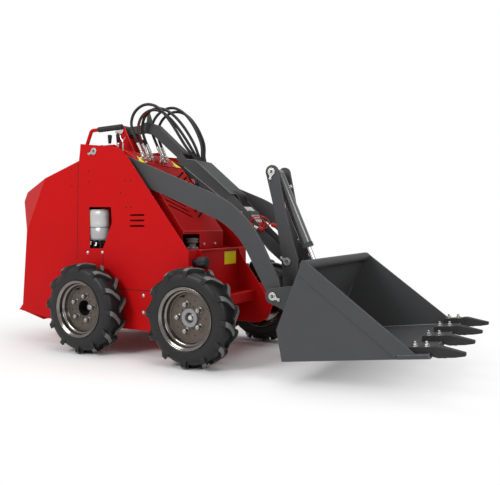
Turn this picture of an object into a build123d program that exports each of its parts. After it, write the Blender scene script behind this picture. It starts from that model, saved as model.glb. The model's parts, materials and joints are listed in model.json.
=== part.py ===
from build123d import *
import os
from math import acos, atan2, cos, degrees, hypot, pi, radians, sin, tan

# Compact ride-behind skid steer loader.
# Frame: +X forward to the bucket, +Y to the machine's left, +Z up, millimetres.
# Origin: on the ground, on the centre plane, midway between the two axles.

os.makedirs("parts", exist_ok=True)

# Wheels and tyres
wheelbase = 770.0
panel_half = 335.0
tyre_radius = 273.0
tyre_width = 145.0
tyre_to_panel = 20.5
half_track = panel_half + tyre_to_panel + tyre_width / 2
lug_height = 19.0
lug_width = 20.0
lug_pairs = 12
rim_flange_radius = 169.0
rim_seat_radius = 156.0
rim_wall = 5.0
disc_offset = 4.0
disc_wall = 6.0
bolt_circle = 150.0
nut_count = 5
hub_bore_radius = 47.0
axle_radius = 25.0
axle_housing_radius = 45.0

# Body
sheet = 5.0
frame_inner = 222.0
frame_plate = 6.0
belly_height = 150.0
wall_front = 298.0
wall_top = 630.0
case_half_outer = panel_half - 30
case_top = 400.0
rear_end = -1049.0

# Lift linkage: the arms turn on the arm pivot, the link on the link pivot.
# Both bars are equal and parallel, so the mast stays upright as it rises.
arm_pivot = (-398.0, 1224.0)
mast_offset = (-20.0, 168.0)
mast_foot = (815.0, 400.0)
link_pivot = (arm_pivot[0] + mast_offset[0], arm_pivot[1] + mast_offset[1])
mast_link_pin = (mast_foot[0] + mast_offset[0], mast_foot[1] + mast_offset[1])
arm_inner = 274.0
arm_plate = 16.0
pin_radius = 14.0
pivot_gap = 0.5

# Mast, bucket pins and cylinders
mast_inner = 75.0
mast_plate = 15.0
tilt_base = (697.0, 1070.0)
tilt_eye = (925.0, 550.0)
tilt_barrel_radius = 31.0
tilt_barrel_length = 465.0
tilt_rod_radius = 16.0
tilt_rod_inside = 250.0
lift_base = (-30.0, 520.0)
lift_eye = (-60.0, 1062.0)
lift_barrel_radius = 18.0
lift_barrel_length = 480.0
lift_rod_radius = 10.0
lift_rod_inside = 70.0
eye_radius = 28.0

# Bucket
bucket_half = 496.0
bucket_wall = 8.0
bucket_top = (1056.0, 602.0)
bucket_lip = (1073.0, 599.0)
bucket_knee = (921.0, 263.0)
bucket_heel = (950.0, 109.0)
bucket_toe = (1584.0, 213.0)
bucket_floor_front = (1507.0, 183.0)
edge_front = (1648.0, 201.0)
edge_plate = 20.0
strip_plate = 6.0
shank_width = 50.0
tip_width = 30.0
tooth_tip = 1782.0
tooth_span = 876.5
tooth_count = 4

axle_height = tyre_radius
axle_x = wheelbase / 2
seat_gap = 0.3


def keep(piece, name):
    """Label a finished piece and write it under its node name."""
    piece.part.label = name
    export_step(piece.part, f"parts/{name}.step")


def side_plane(y):
    """Sketch plane seen from the right side: sketch x forward, sketch y up."""
    return Plane(origin=(0, y, 0), x_dir=(1, 0, 0), z_dir=(0, -1, 0))


def between(inner, outer, side=-1):
    """Plane and thickness of a plate between two distances from the centre."""
    if side < 0:
        return side_plane(-inner), outer - inner
    return side_plane(outer), outer - inner


def mirrored(piece, name):
    """The left hand copy of a right hand piece."""
    with BuildPart() as left:
        mirror(piece.part, about=Plane.XZ)
    keep(left, name)
    return left


def shifted(point, dx, dz):
    return (point[0] + dx, point[1] + dz)


def offset_chain(points, distance):
    """A chain of points moved to its left by a distance, corner by corner."""
    moved = []
    for index, (x, z) in enumerate(points):
        before = points[max(index - 1, 0)]
        after = points[min(index + 1, len(points) - 1)]
        first = (x - before[0], z - before[1]) if index else (after[0] - x, after[1] - z)
        last = (after[0] - x, after[1] - z) if index < len(points) - 1 else first
        turn_in = atan2(first[1], first[0])
        turn_out = atan2(last[1], last[0])
        middle = (turn_in + turn_out) / 2
        reach = distance / cos((turn_out - turn_in) / 2)
        moved.append((x - reach * sin(middle), z + reach * cos(middle)))
    return moved


# Wheels
def wheel_plane(x, u):
    """Plane square to the axle, u outward from the middle of a right wheel."""
    return Plane(origin=(x, -(half_track + u), axle_height), x_dir=(1, 0, 0), z_dir=(0, -1, 0))


def wheel_section(x):
    """Plane through the axle: sketch x outward, sketch y the radius."""
    return Plane(origin=(x, -half_track, axle_height), x_dir=(0, -1, 0), z_dir=(-1, 0, 0))


def wheel_axis(x):
    return Axis((x, -half_track, axle_height), (0, 1, 0))


def ring(x, u_low, u_high, r_low, r_high):
    """A plain ring about a right wheel's axle, added to the current part."""
    with BuildSketch(wheel_section(x)) as section:
        with Locations(((u_low + u_high) / 2, (r_low + r_high) / 2)):
            Rectangle(u_high - u_low, r_high - r_low)
    revolve(section.sketch, axis=wheel_axis(x))


def build_tyre(x):
    """Tyre with two staggered rows of slanted lugs; the middle leads at the top."""
    half = tyre_width / 2
    tread = tyre_radius - lug_height
    seat = rim_seat_radius + seat_gap
    slant = -half
    bar = lug_width / cos(pi / 4)
    with BuildPart() as lugs:
        for number in range(2 * lug_pairs):
            side = 1 if number % 2 else -1
            turn = 2 * pi * number / (2 * lug_pairs)
            radial = (sin(turn), 0, cos(turn))
            foot = Vector(x, -half_track, axle_height) + Vector(*radial) * (tread - 12)
            with BuildSketch(Plane(origin=foot, x_dir=(0, -1, 0), z_dir=radial)):
                with BuildLine():
                    Polyline(
                        (-3 * side, -bar / 2),
                        (side * half, slant - bar / 2),
                        (side * half, slant + bar / 2),
                        (-3 * side, bar / 2),
                        close=True,
                    )
                make_face()
            extrude(amount=lug_height + 60)
        with BuildSketch(wheel_section(x)):
            with BuildLine():
                Polyline(
                    (-half, tread - 40),
                    (-half, tyre_radius - 12),
                    (-half + 14, tyre_radius),
                    (half - 14, tyre_radius),
                    (half, tyre_radius - 12),
                    (half, tread - 40),
                    close=True,
                )
            make_face()
        revolve(axis=wheel_axis(x), mode=Mode.INTERSECT)
    with BuildPart() as tyre:
        with BuildSketch(wheel_section(x)):
            with BuildLine():
                Polyline(
                    (-half + 6.5, rim_flange_radius + 1),
                    (-half + 12, seat),
                    (half - 12, seat),
                    (half - 6.5, rim_flange_radius + 1),
                )
                wall_foot = (half - 6.5, rim_flange_radius + 1)
                shoulder = (half - 14, tread - 8)
                ThreePointArc(wall_foot, (half, seat + 46), shoulder)
                ThreePointArc(shoulder, (0, tread), (-shoulder[0], shoulder[1]))
                ThreePointArc(
                    (-shoulder[0], shoulder[1]),
                    (-half, seat + 46),
                    (-wall_foot[0], wall_foot[1]),
                )
            make_face()
        revolve(axis=wheel_axis(x))
        add(lugs.part)
    return tyre


def build_rim(x, front):
    """Rim, disc, nuts and axle shaft of a right wheel."""
    half = tyre_width / 2
    flange = half - 0.5
    disc_out = disc_offset + disc_wall
    shaft_end = half_track - panel_half + 22
    with BuildPart() as rim:
        with BuildSketch(wheel_section(x)):
            with BuildLine():
                Polyline(
                    (flange, rim_flange_radius),
                    (flange - 5, rim_flange_radius),
                    (flange - 10, rim_seat_radius),
                    (-flange + 10, rim_seat_radius),
                    (-flange + 5, rim_flange_radius),
                    (-flange, rim_flange_radius),
                    (-flange, rim_flange_radius - 5),
                    (-flange + 7, rim_seat_radius - rim_wall),
                    (disc_offset, rim_seat_radius - rim_wall),
                    (disc_offset, hub_bore_radius),
                    (disc_out, hub_bore_radius),
                    (disc_out, rim_seat_radius - rim_wall),
                    (flange - 7, rim_seat_radius - rim_wall),
                    (flange, rim_flange_radius - 5),
                    close=True,
                )
            make_face()
        revolve(axis=wheel_axis(x))
        with BuildSketch(wheel_plane(x, disc_out)):
            with PolarLocations(bolt_circle / 2, nut_count, start_angle=90):
                RegularPolygon(11, 6)
        extrude(amount=26)
        with BuildSketch(wheel_plane(x, disc_offset - 1)):
            with PolarLocations(bolt_circle / 2, nut_count, start_angle=90 + 180 / nut_count):
                Circle(9)
        extrude(amount=disc_wall + 2, mode=Mode.SUBTRACT)
        ring(x, -50, disc_offset, hub_bore_radius, hub_bore_radius + 7)
        ring(x, -50, -42, axle_radius - 5, hub_bore_radius + 7)
        with BuildSketch(wheel_plane(x, -shaft_end)):
            Circle(axle_radius)
        extrude(amount=shaft_end - 40)
        if front:
            ring(x, disc_out, disc_out + 14, hub_bore_radius - 18, hub_bore_radius + 4)
            with BuildSketch(wheel_plane(x, -40)):
                Circle(hub_bore_radius - 18)
            extrude(amount=disc_out + 44)
    return rim


tyre_front_right = build_tyre(axle_x)
keep(tyre_front_right, "tyre_front_right")
mirrored(tyre_front_right, "tyre_front_left")
rim_front_right = build_rim(axle_x, True)
keep(rim_front_right, "rim_front_right")
mirrored(rim_front_right, "rim_front_left")
with BuildPart() as tyre_rear_right:
    add(tyre_front_right.part.moved(Location((-wheelbase, 0, 0))))
keep(tyre_rear_right, "tyre_rear_right")
mirrored(tyre_rear_right, "tyre_rear_left")
rim_rear_right = build_rim(-axle_x, False)
keep(rim_rear_right, "rim_rear_right")
mirrored(rim_rear_right, "rim_rear_left")


# Frame sides: each is a tall plate with the drive case and axle housings on it
frame_outer = frame_inner + frame_plate
panel_inner = panel_half - sheet
housing_face = panel_half + 8
lift_pin_clear = 4.0
with BuildPart() as frame_right:
    with BuildSketch(side_plane(-frame_inner)):
        with BuildLine():
            Polyline(
                (-860, belly_height + sheet + seat_gap),
                (454, belly_height + 6),
                (518, 188),
                (553, 279),
                (511, 314),
                (464, 394),
                (338, 561),
                (wall_front + 8, wall_top - 8),
                (185, 632),
                (180, 730),
                (-145, 1146),
                (-330, 1275),
                (-470, 1275),
                (-470, 520),
                (-860, case_top),
                close=True,
            )
        make_face()
        with Locations(arm_pivot):
            Circle(pin_radius, mode=Mode.SUBTRACT)
    extrude(amount=frame_plate)
    with BuildSketch(side_plane(-frame_outer)):
        with BuildLine():
            Polyline(
                (-500, belly_height + 6),
                (axle_x + 20, belly_height + 6),
                (axle_x + 110, 240),
                (axle_x + 110, 330),
                (axle_x + 50, case_top),
                (-500, case_top),
                close=True,
            )
        make_face()
    extrude(amount=case_half_outer - frame_outer)
    with BuildSketch(side_plane(-case_half_outer)):
        with Locations((-axle_x, axle_height), (axle_x, axle_height)):
            Circle(axle_housing_radius)
    extrude(amount=housing_face - case_half_outer)
    with BuildSketch(side_plane(-housing_face + 38)):
        with Locations((-axle_x, axle_height), (axle_x, axle_height)):
            Circle(axle_radius + pivot_gap)
    extrude(amount=38, mode=Mode.SUBTRACT)
    with BuildSketch(side_plane(-frame_outer)):
        with Locations(lift_base):
            Circle(pin_radius)
    extrude(amount=arm_inner - frame_outer - lift_pin_clear)
keep(frame_right, "frame_right")
mirrored(frame_right, "frame_left")

with BuildPart() as belly_pan:
    with BuildSketch(Plane.XY.offset(belly_height)):
        with Locations(((wall_front - 868) / 2, 0)):
            Rectangle(wall_front + 852, 2 * frame_outer)
    extrude(amount=sheet)
keep(belly_pan, "belly_pan")

with BuildPart() as front_wall:
    with BuildSketch(side_plane(frame_inner - seat_gap)):
        with Locations((wall_front - 4, (belly_height + sheet + wall_top) / 2 + seat_gap)):
            Rectangle(8, wall_top - belly_height - sheet - 2 * seat_gap)
        with Locations((wall_front + 6, wall_top - 4)):
            Rectangle(28, 8)
    extrude(amount=2 * (frame_inner - seat_gap))
    with BuildSketch(side_plane(panel_inner - seat_gap)):
        with Locations((wall_front - 4, (case_top + wall_top) / 2 + seat_gap)):
            Rectangle(8, wall_top - case_top - 2 * seat_gap)
    extrude(amount=panel_inner - frame_outer - 2 * seat_gap)
    with BuildSketch(side_plane(-frame_outer - seat_gap)):
        with Locations((wall_front - 4, (case_top + wall_top) / 2 + seat_gap)):
            Rectangle(8, wall_top - case_top - 2 * seat_gap)
    extrude(amount=panel_inner - frame_outer - 2 * seat_gap)
keep(front_wall, "front_wall")

with BuildPart() as cross_members:
    for x, z, size in ((395, 330, 60), (-830, 230, 50), (-560, 230, 50)):
        with BuildSketch(side_plane(frame_inner - seat_gap)):
            with Locations((x, z)):
                Rectangle(size, size)
        extrude(amount=2 * (frame_inner - seat_gap))
keep(cross_members, "cross_members")

# Side panels
vent_place = (-65.0, 830.0)
vent_rows = 3
vent_pitch = 32.0
vent_length = 110.0
vent_height = 12.0
with BuildPart() as side_panel_right:
    with BuildSketch(side_plane(-panel_inner)):
        with BuildLine():
            Polyline(
                (-1084, 203),
                (rear_end, 241),
                (-1002, 733),
                (-827, 1076),
                (-525, 1173),
                (-515, 1234),
                (-511, 1277),
                (-246, 1244),
                (-191, 1223),
                (-130, 1169),
                (291, 636),
                (wall_front, 618),
                (wall_front, belly_height),
                (-178, belly_height),
                (-798, 162),
                close=True,
            )
        make_face()
        with BuildLine():
            Polyline(
                (-444, 884),
                (-265, 881),
                (-258, 784),
                (-331, 629),
                (-438, 627),
                close=True,
            )
        make_face(mode=Mode.SUBTRACT)
        with Locations((-axle_x, axle_height)):
            Circle(axle_housing_radius + 3, mode=Mode.SUBTRACT)
        with Locations(arm_pivot):
            Circle(pin_radius, mode=Mode.SUBTRACT)
        for row in range(vent_rows):
            with Locations((vent_place[0], vent_place[1] - row * vent_pitch)):
                SlotOverall(vent_length, vent_height, mode=Mode.SUBTRACT)
    extrude(amount=sheet)
keep(side_panel_right, "side_panel_right")
mirrored(side_panel_right, "side_panel_left")

# Rear hood: tapers back from the fold line to a narrow ridge
fold_top = (-827.0, 1076.0)
fold_low = (-1002.0, 733.0)
fold_length = hypot(fold_top[0] - fold_low[0], fold_top[1] - fold_low[1])
fold_run = ((fold_low[0] - fold_top[0]) / fold_length, (fold_low[1] - fold_top[1]) / fold_length)
hood_depth = 255.0
ridge_half = 200.0
ridge_start = 214.0
ridge_end = 286.0


def fold_plane(distance):
    """Plane parallel to the fold line, moved back; sketch y runs down the fold."""
    normal = (fold_run[1], 0, -fold_run[0])
    start = (fold_top[0] + normal[0] * distance, 0, fold_top[1] + normal[2] * distance)
    return Plane(origin=start, x_dir=(0, 1, 0), z_dir=normal)


with BuildPart() as rear_hood:
    down = 1 if fold_plane(0).y_dir.Z < 0 else -1
    for inset, mode in ((0, Mode.ADD), (sheet, Mode.SUBTRACT)):
        with BuildSketch(fold_plane(-inset * 0.1)):
            with Locations((0, down * fold_length / 2)):
                Rectangle(2 * (panel_half - inset), fold_length - 2 * inset)
        with BuildSketch(fold_plane(hood_depth - inset)):
            with Locations((0, down * (ridge_start + ridge_end) / 2)):
                Rectangle(2 * (ridge_half - inset), ridge_end - ridge_start - inset)
        loft(ruled=True, mode=mode)
keep(rear_hood, "rear_hood")

with BuildPart() as rear_cover:
    with BuildSketch(side_plane(panel_inner - seat_gap)):
        with BuildLine():
            Polyline(
                (-827 + 3, 1076 - 3),
                (-525, 1173 - 2),
                (-520, 1200),
                (-515, 1200),
                (-515, 1166),
                (-524, 1167),
                (-823, 1070),
                close=True,
            )
        make_face()
    extrude(amount=2 * (panel_inner - seat_gap))
keep(rear_cover, "rear_cover")

with BuildPart() as rear_door:
    with BuildSketch(side_plane(panel_inner - seat_gap)):
        with BuildLine():
            Polyline(
                (rear_end + 2, 241),
                (-1004, 728),
                (-998, 728),
                (rear_end + 8, 241),
                (-1070, 205),
                (-862, 157),
                (-862, 151),
                (-1078, 203),
                close=True,
            )
        make_face()
    extrude(amount=2 * (panel_inner - seat_gap))
keep(rear_door, "rear_door")

# Front hood between the frame plates, with louvres across its slope
hood_half = frame_inner - seat_gap
slope_top = (-130.0, 1152.0)
slope_foot = (190.0, 735.0)
notch_depth = 60.0
notch_end = 51.0
notch_height = 88.0
bulkhead_rear = (-250.0, 1235.0)
bulkhead_run = (slope_top[0] - bulkhead_rear[0], slope_top[1] - bulkhead_rear[1])
bulkhead_length = hypot(*bulkhead_run)
bulkhead_angle = degrees(atan2(bulkhead_run[1], bulkhead_run[0]))
slope_angle = degrees(atan2(slope_foot[1] - slope_top[1], slope_foot[0] - slope_top[0]))
slope_length = hypot(slope_foot[0] - slope_top[0], slope_foot[1] - slope_top[1])
with BuildPart() as front_hood:
    with BuildSketch(side_plane(hood_half)):
        with BuildLine():
            Polyline(
                (-470, wall_top),
                (-470, bulkhead_rear[1]),
                bulkhead_rear,
                slope_top,
                slope_foot,
                (190, wall_top),
                close=True,
            )
        make_face()
    extrude(amount=2 * hood_half)
    lower = front_hood.faces().sort_by(Axis.Z)[0]
    rear = front_hood.faces().sort_by(Axis.X)[0]
    slope_normal = Vector(cos(radians(slope_angle + 90)), 0, sin(radians(slope_angle + 90)))
    slope = max(front_hood.faces(), key=lambda face: face.normal_at().dot(slope_normal))
    offset(amount=-sheet, openings=[lower, rear, slope])
    with BuildSketch(Plane.XY.offset(wall_top)):
        with Locations((slope_foot[0], -hood_half)):
            Rectangle(2 * notch_depth, 2 * (hood_half - notch_end))
    extrude(amount=notch_height, mode=Mode.SUBTRACT)
keep(front_hood, "front_hood")

louvre_plane = Plane(
    origin=(slope_top[0], 0, slope_top[1]),
    x_dir=(0, -1, 0),
    z_dir=(slope_normal.X, 0, slope_normal.Z),
)
louvre_down = 1 if louvre_plane.y_dir.Z < 0 else -1
louvre_half = hood_half - sheet - seat_gap
louvre_rows = 8
louvre_first = 76.0
louvre_pitch = 42.3
louvre_turn = 28.0
louvre_slot = (198.0, 14.0)
louvre_offset = 117.5
mitre_top = sheet / sin(radians(bulkhead_angle - slope_angle)) + seat_gap
mitre_foot = sheet / sin(radians(90 + slope_angle)) + seat_gap
with BuildPart() as louvre_panel:
    with BuildSketch(louvre_plane.offset(-sheet)):
        with Locations((0, louvre_down * (slope_length + mitre_top - mitre_foot) / 2)):
            Rectangle(2 * louvre_half, slope_length - mitre_top - mitre_foot)
        for row in range(louvre_rows):
            down = louvre_down * (louvre_first + row * louvre_pitch)
            for side in (-1, 1):
                turn = -side * louvre_down * louvre_turn
                with Locations((side * louvre_offset, down)):
                    SlotOverall(*louvre_slot, rotation=turn, mode=Mode.SUBTRACT)
    extrude(amount=sheet)
keep(louvre_panel, "louvre_panel")

# Link bracket on the console, hand rail and levers
bracket_inner = 54.0
bracket_plate = 10.0
with BuildPart() as link_bracket:
    for side in (-1, 1):
        plane, thickness = between(bracket_inner, bracket_inner + bracket_plate, side)
        with BuildSketch(plane):
            with BuildLine():
                Polyline(
                    (-465, 1235 + seat_gap),
                    shifted(link_pivot, -36, 0),
                    shifted(link_pivot, 36, 0),
                    (-300, 1235 + seat_gap),
                    close=True,
                )
            make_face()
            with Locations(link_pivot):
                Circle(36)
                Circle(pin_radius, mode=Mode.SUBTRACT)
        extrude(amount=thickness)
keep(link_bracket, "link_bracket")

rail_radius = 11.0
rail_y = -(panel_inner - seat_gap - rail_radius)
with BuildPart() as hand_rail:
    with BuildLine() as rail_path:
        FilletPolyline(
            (-496, rail_y, 1150),
            (-496, rail_y, 1215),
            (-432, rail_y, 1355),
            (-190, rail_y, 1359),
            radius=24,
        )
    with BuildSketch(Plane(origin=rail_path.line @ 0, z_dir=rail_path.line % 0)):
        Circle(rail_radius)
    sweep()
keep(hand_rail, "hand_rail")

console_top = bulkhead_rear[1]
lever_base_radius = 16.0
lever_height = 118.0
with BuildPart() as control_levers:
    for x, y in ((-440, -150), (-370, -150), (-440, 110), (-370, 110)):
        for radius, low, high in ((lever_base_radius, 0, 12), (6, 12, lever_height - 55)):
            with BuildSketch(Plane.XY.offset(console_top + seat_gap + low)):
                with Locations((x, y)):
                    Circle(radius)
            extrude(amount=high - low)
        with BuildSketch(Plane.XY.offset(console_top + lever_height - 55)) as knob_foot:
            with Locations((x, y)):
                Circle(9)
        with BuildSketch(Plane.XY.offset(console_top + lever_height)) as knob_head:
            with Locations((x, y)):
                Circle(15)
        loft()
keep(control_levers, "control_levers")

# Hydraulic hoses: from a row of elbow fittings over to a plate in the link
hose_radius = 9.0
ferrule_radius = 11.0
nut_radius = 14.0
fitting_foot = (-175.6, 1183.5)
fitting_elbow = (-162.0, 1203.0)
ferrule_top = (-203.0, 1283.0)
hose_foot = (-230, 1337)
hose_near_end = (158, 1174)
hose_end = (190, 1123)
hose_loops = {
    "hose_1": (
        (-155, -42),
        ((-268, -148, 1407), (-249, -138, 1486), (-178, -124, 1532), (-97, -108, 1518),
         (-37, -96, 1459), (12, -85, 1391), (56, -75, 1320), (99, -65, 1248)),
    ),
    "hose_2": (
        (-110, -21),
        ((-242, -108, 1402), (-214, -103, 1465), (-151, -94, 1499), (-77, -83, 1487),
         (-17, -71, 1437), (33, -60, 1378), (77, -49, 1315), (118, -38, 1247)),
    ),
    "hose_3": (
        (-65, 0),
        ((-247, -66, 1403), (-216, -65, 1478), (-142, -61, 1515), (-63, -53, 1499),
         (0, -42, 1451), (52, -31, 1392), (95, -21, 1326), (133, -12, 1257)),
    ),
    "hose_4": (
        (45, 21),
        ((-263, 53, 1398), (-250, 64, 1473), (-191, 77, 1528), (-112, 82, 1542),
         (-38, 79, 1511), (23, 71, 1460), (73, 61, 1400), (115, 50, 1333),
         (150, 39, 1262)),
    ),
    "hose_5": (
        (90, 42),
        ((-246, 99, 1408), (-210, 107, 1481), (-135, 111, 1519), (-53, 107, 1508),
         (16, 98, 1464), (72, 86, 1405), (118, 74, 1339), (154, 61, 1266)),
    ),
}
with BuildPart() as hose_fittings:
    for (y, _), _ in hose_loops.values():
        foot = Vector(fitting_foot[0], y, fitting_foot[1])
        elbow = Vector(fitting_elbow[0], y, fitting_elbow[1])
        top = Vector(ferrule_top[0], y, ferrule_top[1])
        rise = (elbow - foot).normalized()
        lean = (top - elbow).normalized()
        with BuildSketch(Plane(origin=foot + rise * seat_gap, x_dir=(0, 1, 0), z_dir=rise)):
            RegularPolygon(nut_radius, 6)
        extrude(amount=(elbow - foot).length)
        with BuildSketch(Plane(origin=elbow - lean * 8, x_dir=(0, 1, 0), z_dir=lean)):
            Circle(ferrule_radius)
        extrude(amount=(top - elbow).length + 8 - seat_gap)
        with BuildSketch(Plane(origin=elbow + lean * 6, x_dir=(0, 1, 0), z_dir=lean)):
            RegularPolygon(nut_radius, 6)
        extrude(amount=18)
keep(hose_fittings, "hose_fittings")


def bend_radii(points):
    """The largest arcs that leave a tenth of each run straight."""
    radii = []
    for before, point, after in zip(points, points[1:], points[2:]):
        first = Vector(*point) - Vector(*before)
        last = Vector(*after) - Vector(*point)
        turn = acos(min(1, first.normalized().dot(last.normalized())))
        radii.append(0.45 * min(first.length, last.length) / tan(turn / 2))
    return radii


for name, ((y_foot, y_end), loop) in hose_loops.items():
    route = [
        (ferrule_top[0], y_foot, ferrule_top[1]),
        (hose_foot[0], y_foot, hose_foot[1]),
        *loop,
        (hose_near_end[0], y_end, hose_near_end[1]),
        (hose_end[0], y_end, hose_end[1]),
    ]
    radii = bend_radii(route)
    print(name, "bend radii", [round(radius) for radius in radii])
    with BuildPart() as hose:
        with BuildLine() as hose_line:
            FilletPolyline(*route, radius=radii)
        with BuildSketch(Plane(origin=hose_line.line @ 0, z_dir=hose_line.line % 0)):
            Circle(hose_radius)
        sweep()
    print(name, "length", round(hose_line.wires()[0].length))
    keep(hose, name)

# Engine, air filter and filler cap
with BuildPart() as engine_block:
    with BuildSketch(Plane.XY.offset(255 + seat_gap)):
        with Locations((-695, 0)):
            Rectangle(390, 380)
    extrude(amount=520)
keep(engine_block, "engine_block")

filter_x = -440.0
filter_long = 80.0
filter_clearance = 2.0
filter_radius = (panel_inner - frame_outer) / 2 - filter_clearance
filter_y = -(frame_outer + panel_inner) / 2
with BuildPart() as air_filter:
    with BuildSketch(Plane.XY.offset(650)):
        with Locations((filter_x, filter_y)):
            Ellipse(filter_long, filter_radius)
    extrude(amount=220)
    with BuildSketch(Plane.XY.offset(700)):
        with Locations((filter_x, (filter_y - frame_outer - seat_gap) / 2)):
            Rectangle(40, -filter_y - frame_outer - seat_gap)
    extrude(amount=120)
keep(air_filter, "air_filter")

filler_y = 60 - panel_half
with BuildPart() as filler_cap:
    with BuildSketch(Plane.YZ.offset(wall_front + seat_gap)):
        with Locations((filler_y, 560)):
            Circle(20)
    extrude(amount=40)
    with BuildSketch(Plane.YZ.offset(330)):
        with Locations((filler_y, 560)):
            Circle(33)
    extrude(amount=60)
keep(filler_cap, "filler_cap")

# Arms
def round_corner(sketch, point, radius):
    """Round the sketch corner nearest to a point."""
    corner = sketch.vertices().sort_by_distance(Vertex(point[0], point[1], 0))[0]
    fillet(corner, radius)


arm_elbow_top = (646.0, 863.0)
arm_elbow_low = (579.0, 756.0)
with BuildPart() as arm_right:
    with BuildSketch(side_plane(-arm_inner)) as arm_outline:
        with BuildLine():
            Polyline(
                (-446, 1250),
                (-380, 1268),
                arm_elbow_top,
                (836, 485),
                shifted(mast_foot, 40, 0),
                shifted(mast_foot, -40, 0),
                arm_elbow_low,
                (-400, 1145),
                (-452, 1200),
                close=True,
            )
        make_face()
        round_corner(arm_outline, arm_elbow_top, 600)
        round_corner(arm_outline, arm_elbow_low, 440)
        with Locations(mast_foot):
            Circle(40)
        with Locations(arm_pivot):
            Circle(pin_radius + pivot_gap, mode=Mode.SUBTRACT)
        with Locations(mast_foot):
            Circle(pin_radius, mode=Mode.SUBTRACT)
    extrude(amount=arm_plate)
keep(arm_right, "arm_right")
mirrored(arm_right, "arm_left")

# Pins: each has a flag plate on its outer end
arm_outer = arm_inner + arm_plate
ear_inner = arm_outer + 10
ear_plate = 14.0


def flag_pin(point, y_low, y_high, turn, flags=(-1,)):
    """A pin along Y with a drop shaped flag on the named ends."""
    with BuildSketch(side_plane(y_high)) as shank:
        with Locations(point):
            Circle(pin_radius)
    extrude(shank.sketch, amount=y_high - y_low)
    tail = (point[0] + 40 * cos(radians(turn)), point[1] + 40 * sin(radians(turn)))
    for side in flags:
        face = y_low if side < 0 else y_high + 6
        with BuildSketch(side_plane(face)) as flag:
            with BuildLine():
                angle = turn + 90
                left = (point[0] + 22 * cos(radians(angle)), point[1] + 22 * sin(radians(angle)))
                right = (point[0] - 22 * cos(radians(angle)), point[1] - 22 * sin(radians(angle)))
                Polyline(left, tail, right, close=True)
            make_face()
            with Locations(point):
                Circle(22)
            with Locations(tail):
                Circle(9)
        extrude(flag.sketch, amount=6)


with BuildPart() as arm_pivot_pins:
    flag_pin(arm_pivot, -panel_half, -frame_inner, 200)
    flag_pin(arm_pivot, frame_inner, panel_half, 200, flags=(1,))
keep(arm_pivot_pins, "arm_pivot_pins")

# Mast: two plates on a cross tube between the arms
mast_outer = mast_inner + mast_plate
with BuildPart() as mast:
    for side in (-1, 1):
        plane, thickness = between(mast_inner, mast_outer, side)
        with BuildSketch(plane):
            with BuildLine():
                Polyline(
                    shifted(tilt_base, -38, 0),
                    shifted(tilt_base, 38, 0),
                    (746, 1022),
                    (774, 882),
                    (817, 716),
                    (856, 590),
                    shifted(mast_foot, 40, 0),
                    shifted(mast_foot, -40, 0),
                    (750, 660),
                    (706, 884),
                    close=True,
                )
            make_face()
            with Locations(tilt_base):
                Circle(38)
            with Locations(mast_foot):
                Circle(40)
            with Locations(mast_link_pin):
                Circle(pin_radius + pivot_gap, mode=Mode.SUBTRACT)
            with Locations(tilt_base):
                Circle(pin_radius, mode=Mode.SUBTRACT)
        extrude(amount=thickness)
    with BuildSketch(side_plane(arm_inner - seat_gap)):
        with Locations(mast_foot):
            Circle(32)
    extrude(amount=2 * (arm_inner - seat_gap))
    for y in (arm_inner, -arm_inner + 40):
        with BuildSketch(side_plane(y)):
            with Locations(mast_foot):
                Circle(pin_radius + pivot_gap)
        extrude(amount=40, mode=Mode.SUBTRACT)
keep(mast, "mast")

with BuildPart() as mast_pins:
    flag_pin(tilt_base, -mast_outer, mast_outer, 260)
keep(mast_pins, "mast_pins")

foot_pin_depth = 35.0
with BuildPart() as mast_foot_pins:
    for side in (-1, 1):
        near, far = arm_inner - foot_pin_depth, ear_inner + ear_plate + seat_gap
        low, high = (-far, -near) if side < 0 else (near, far)
        flag_pin(mast_foot, low, high, -25, flags=(side,))
keep(mast_foot_pins, "mast_foot_pins")

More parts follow.
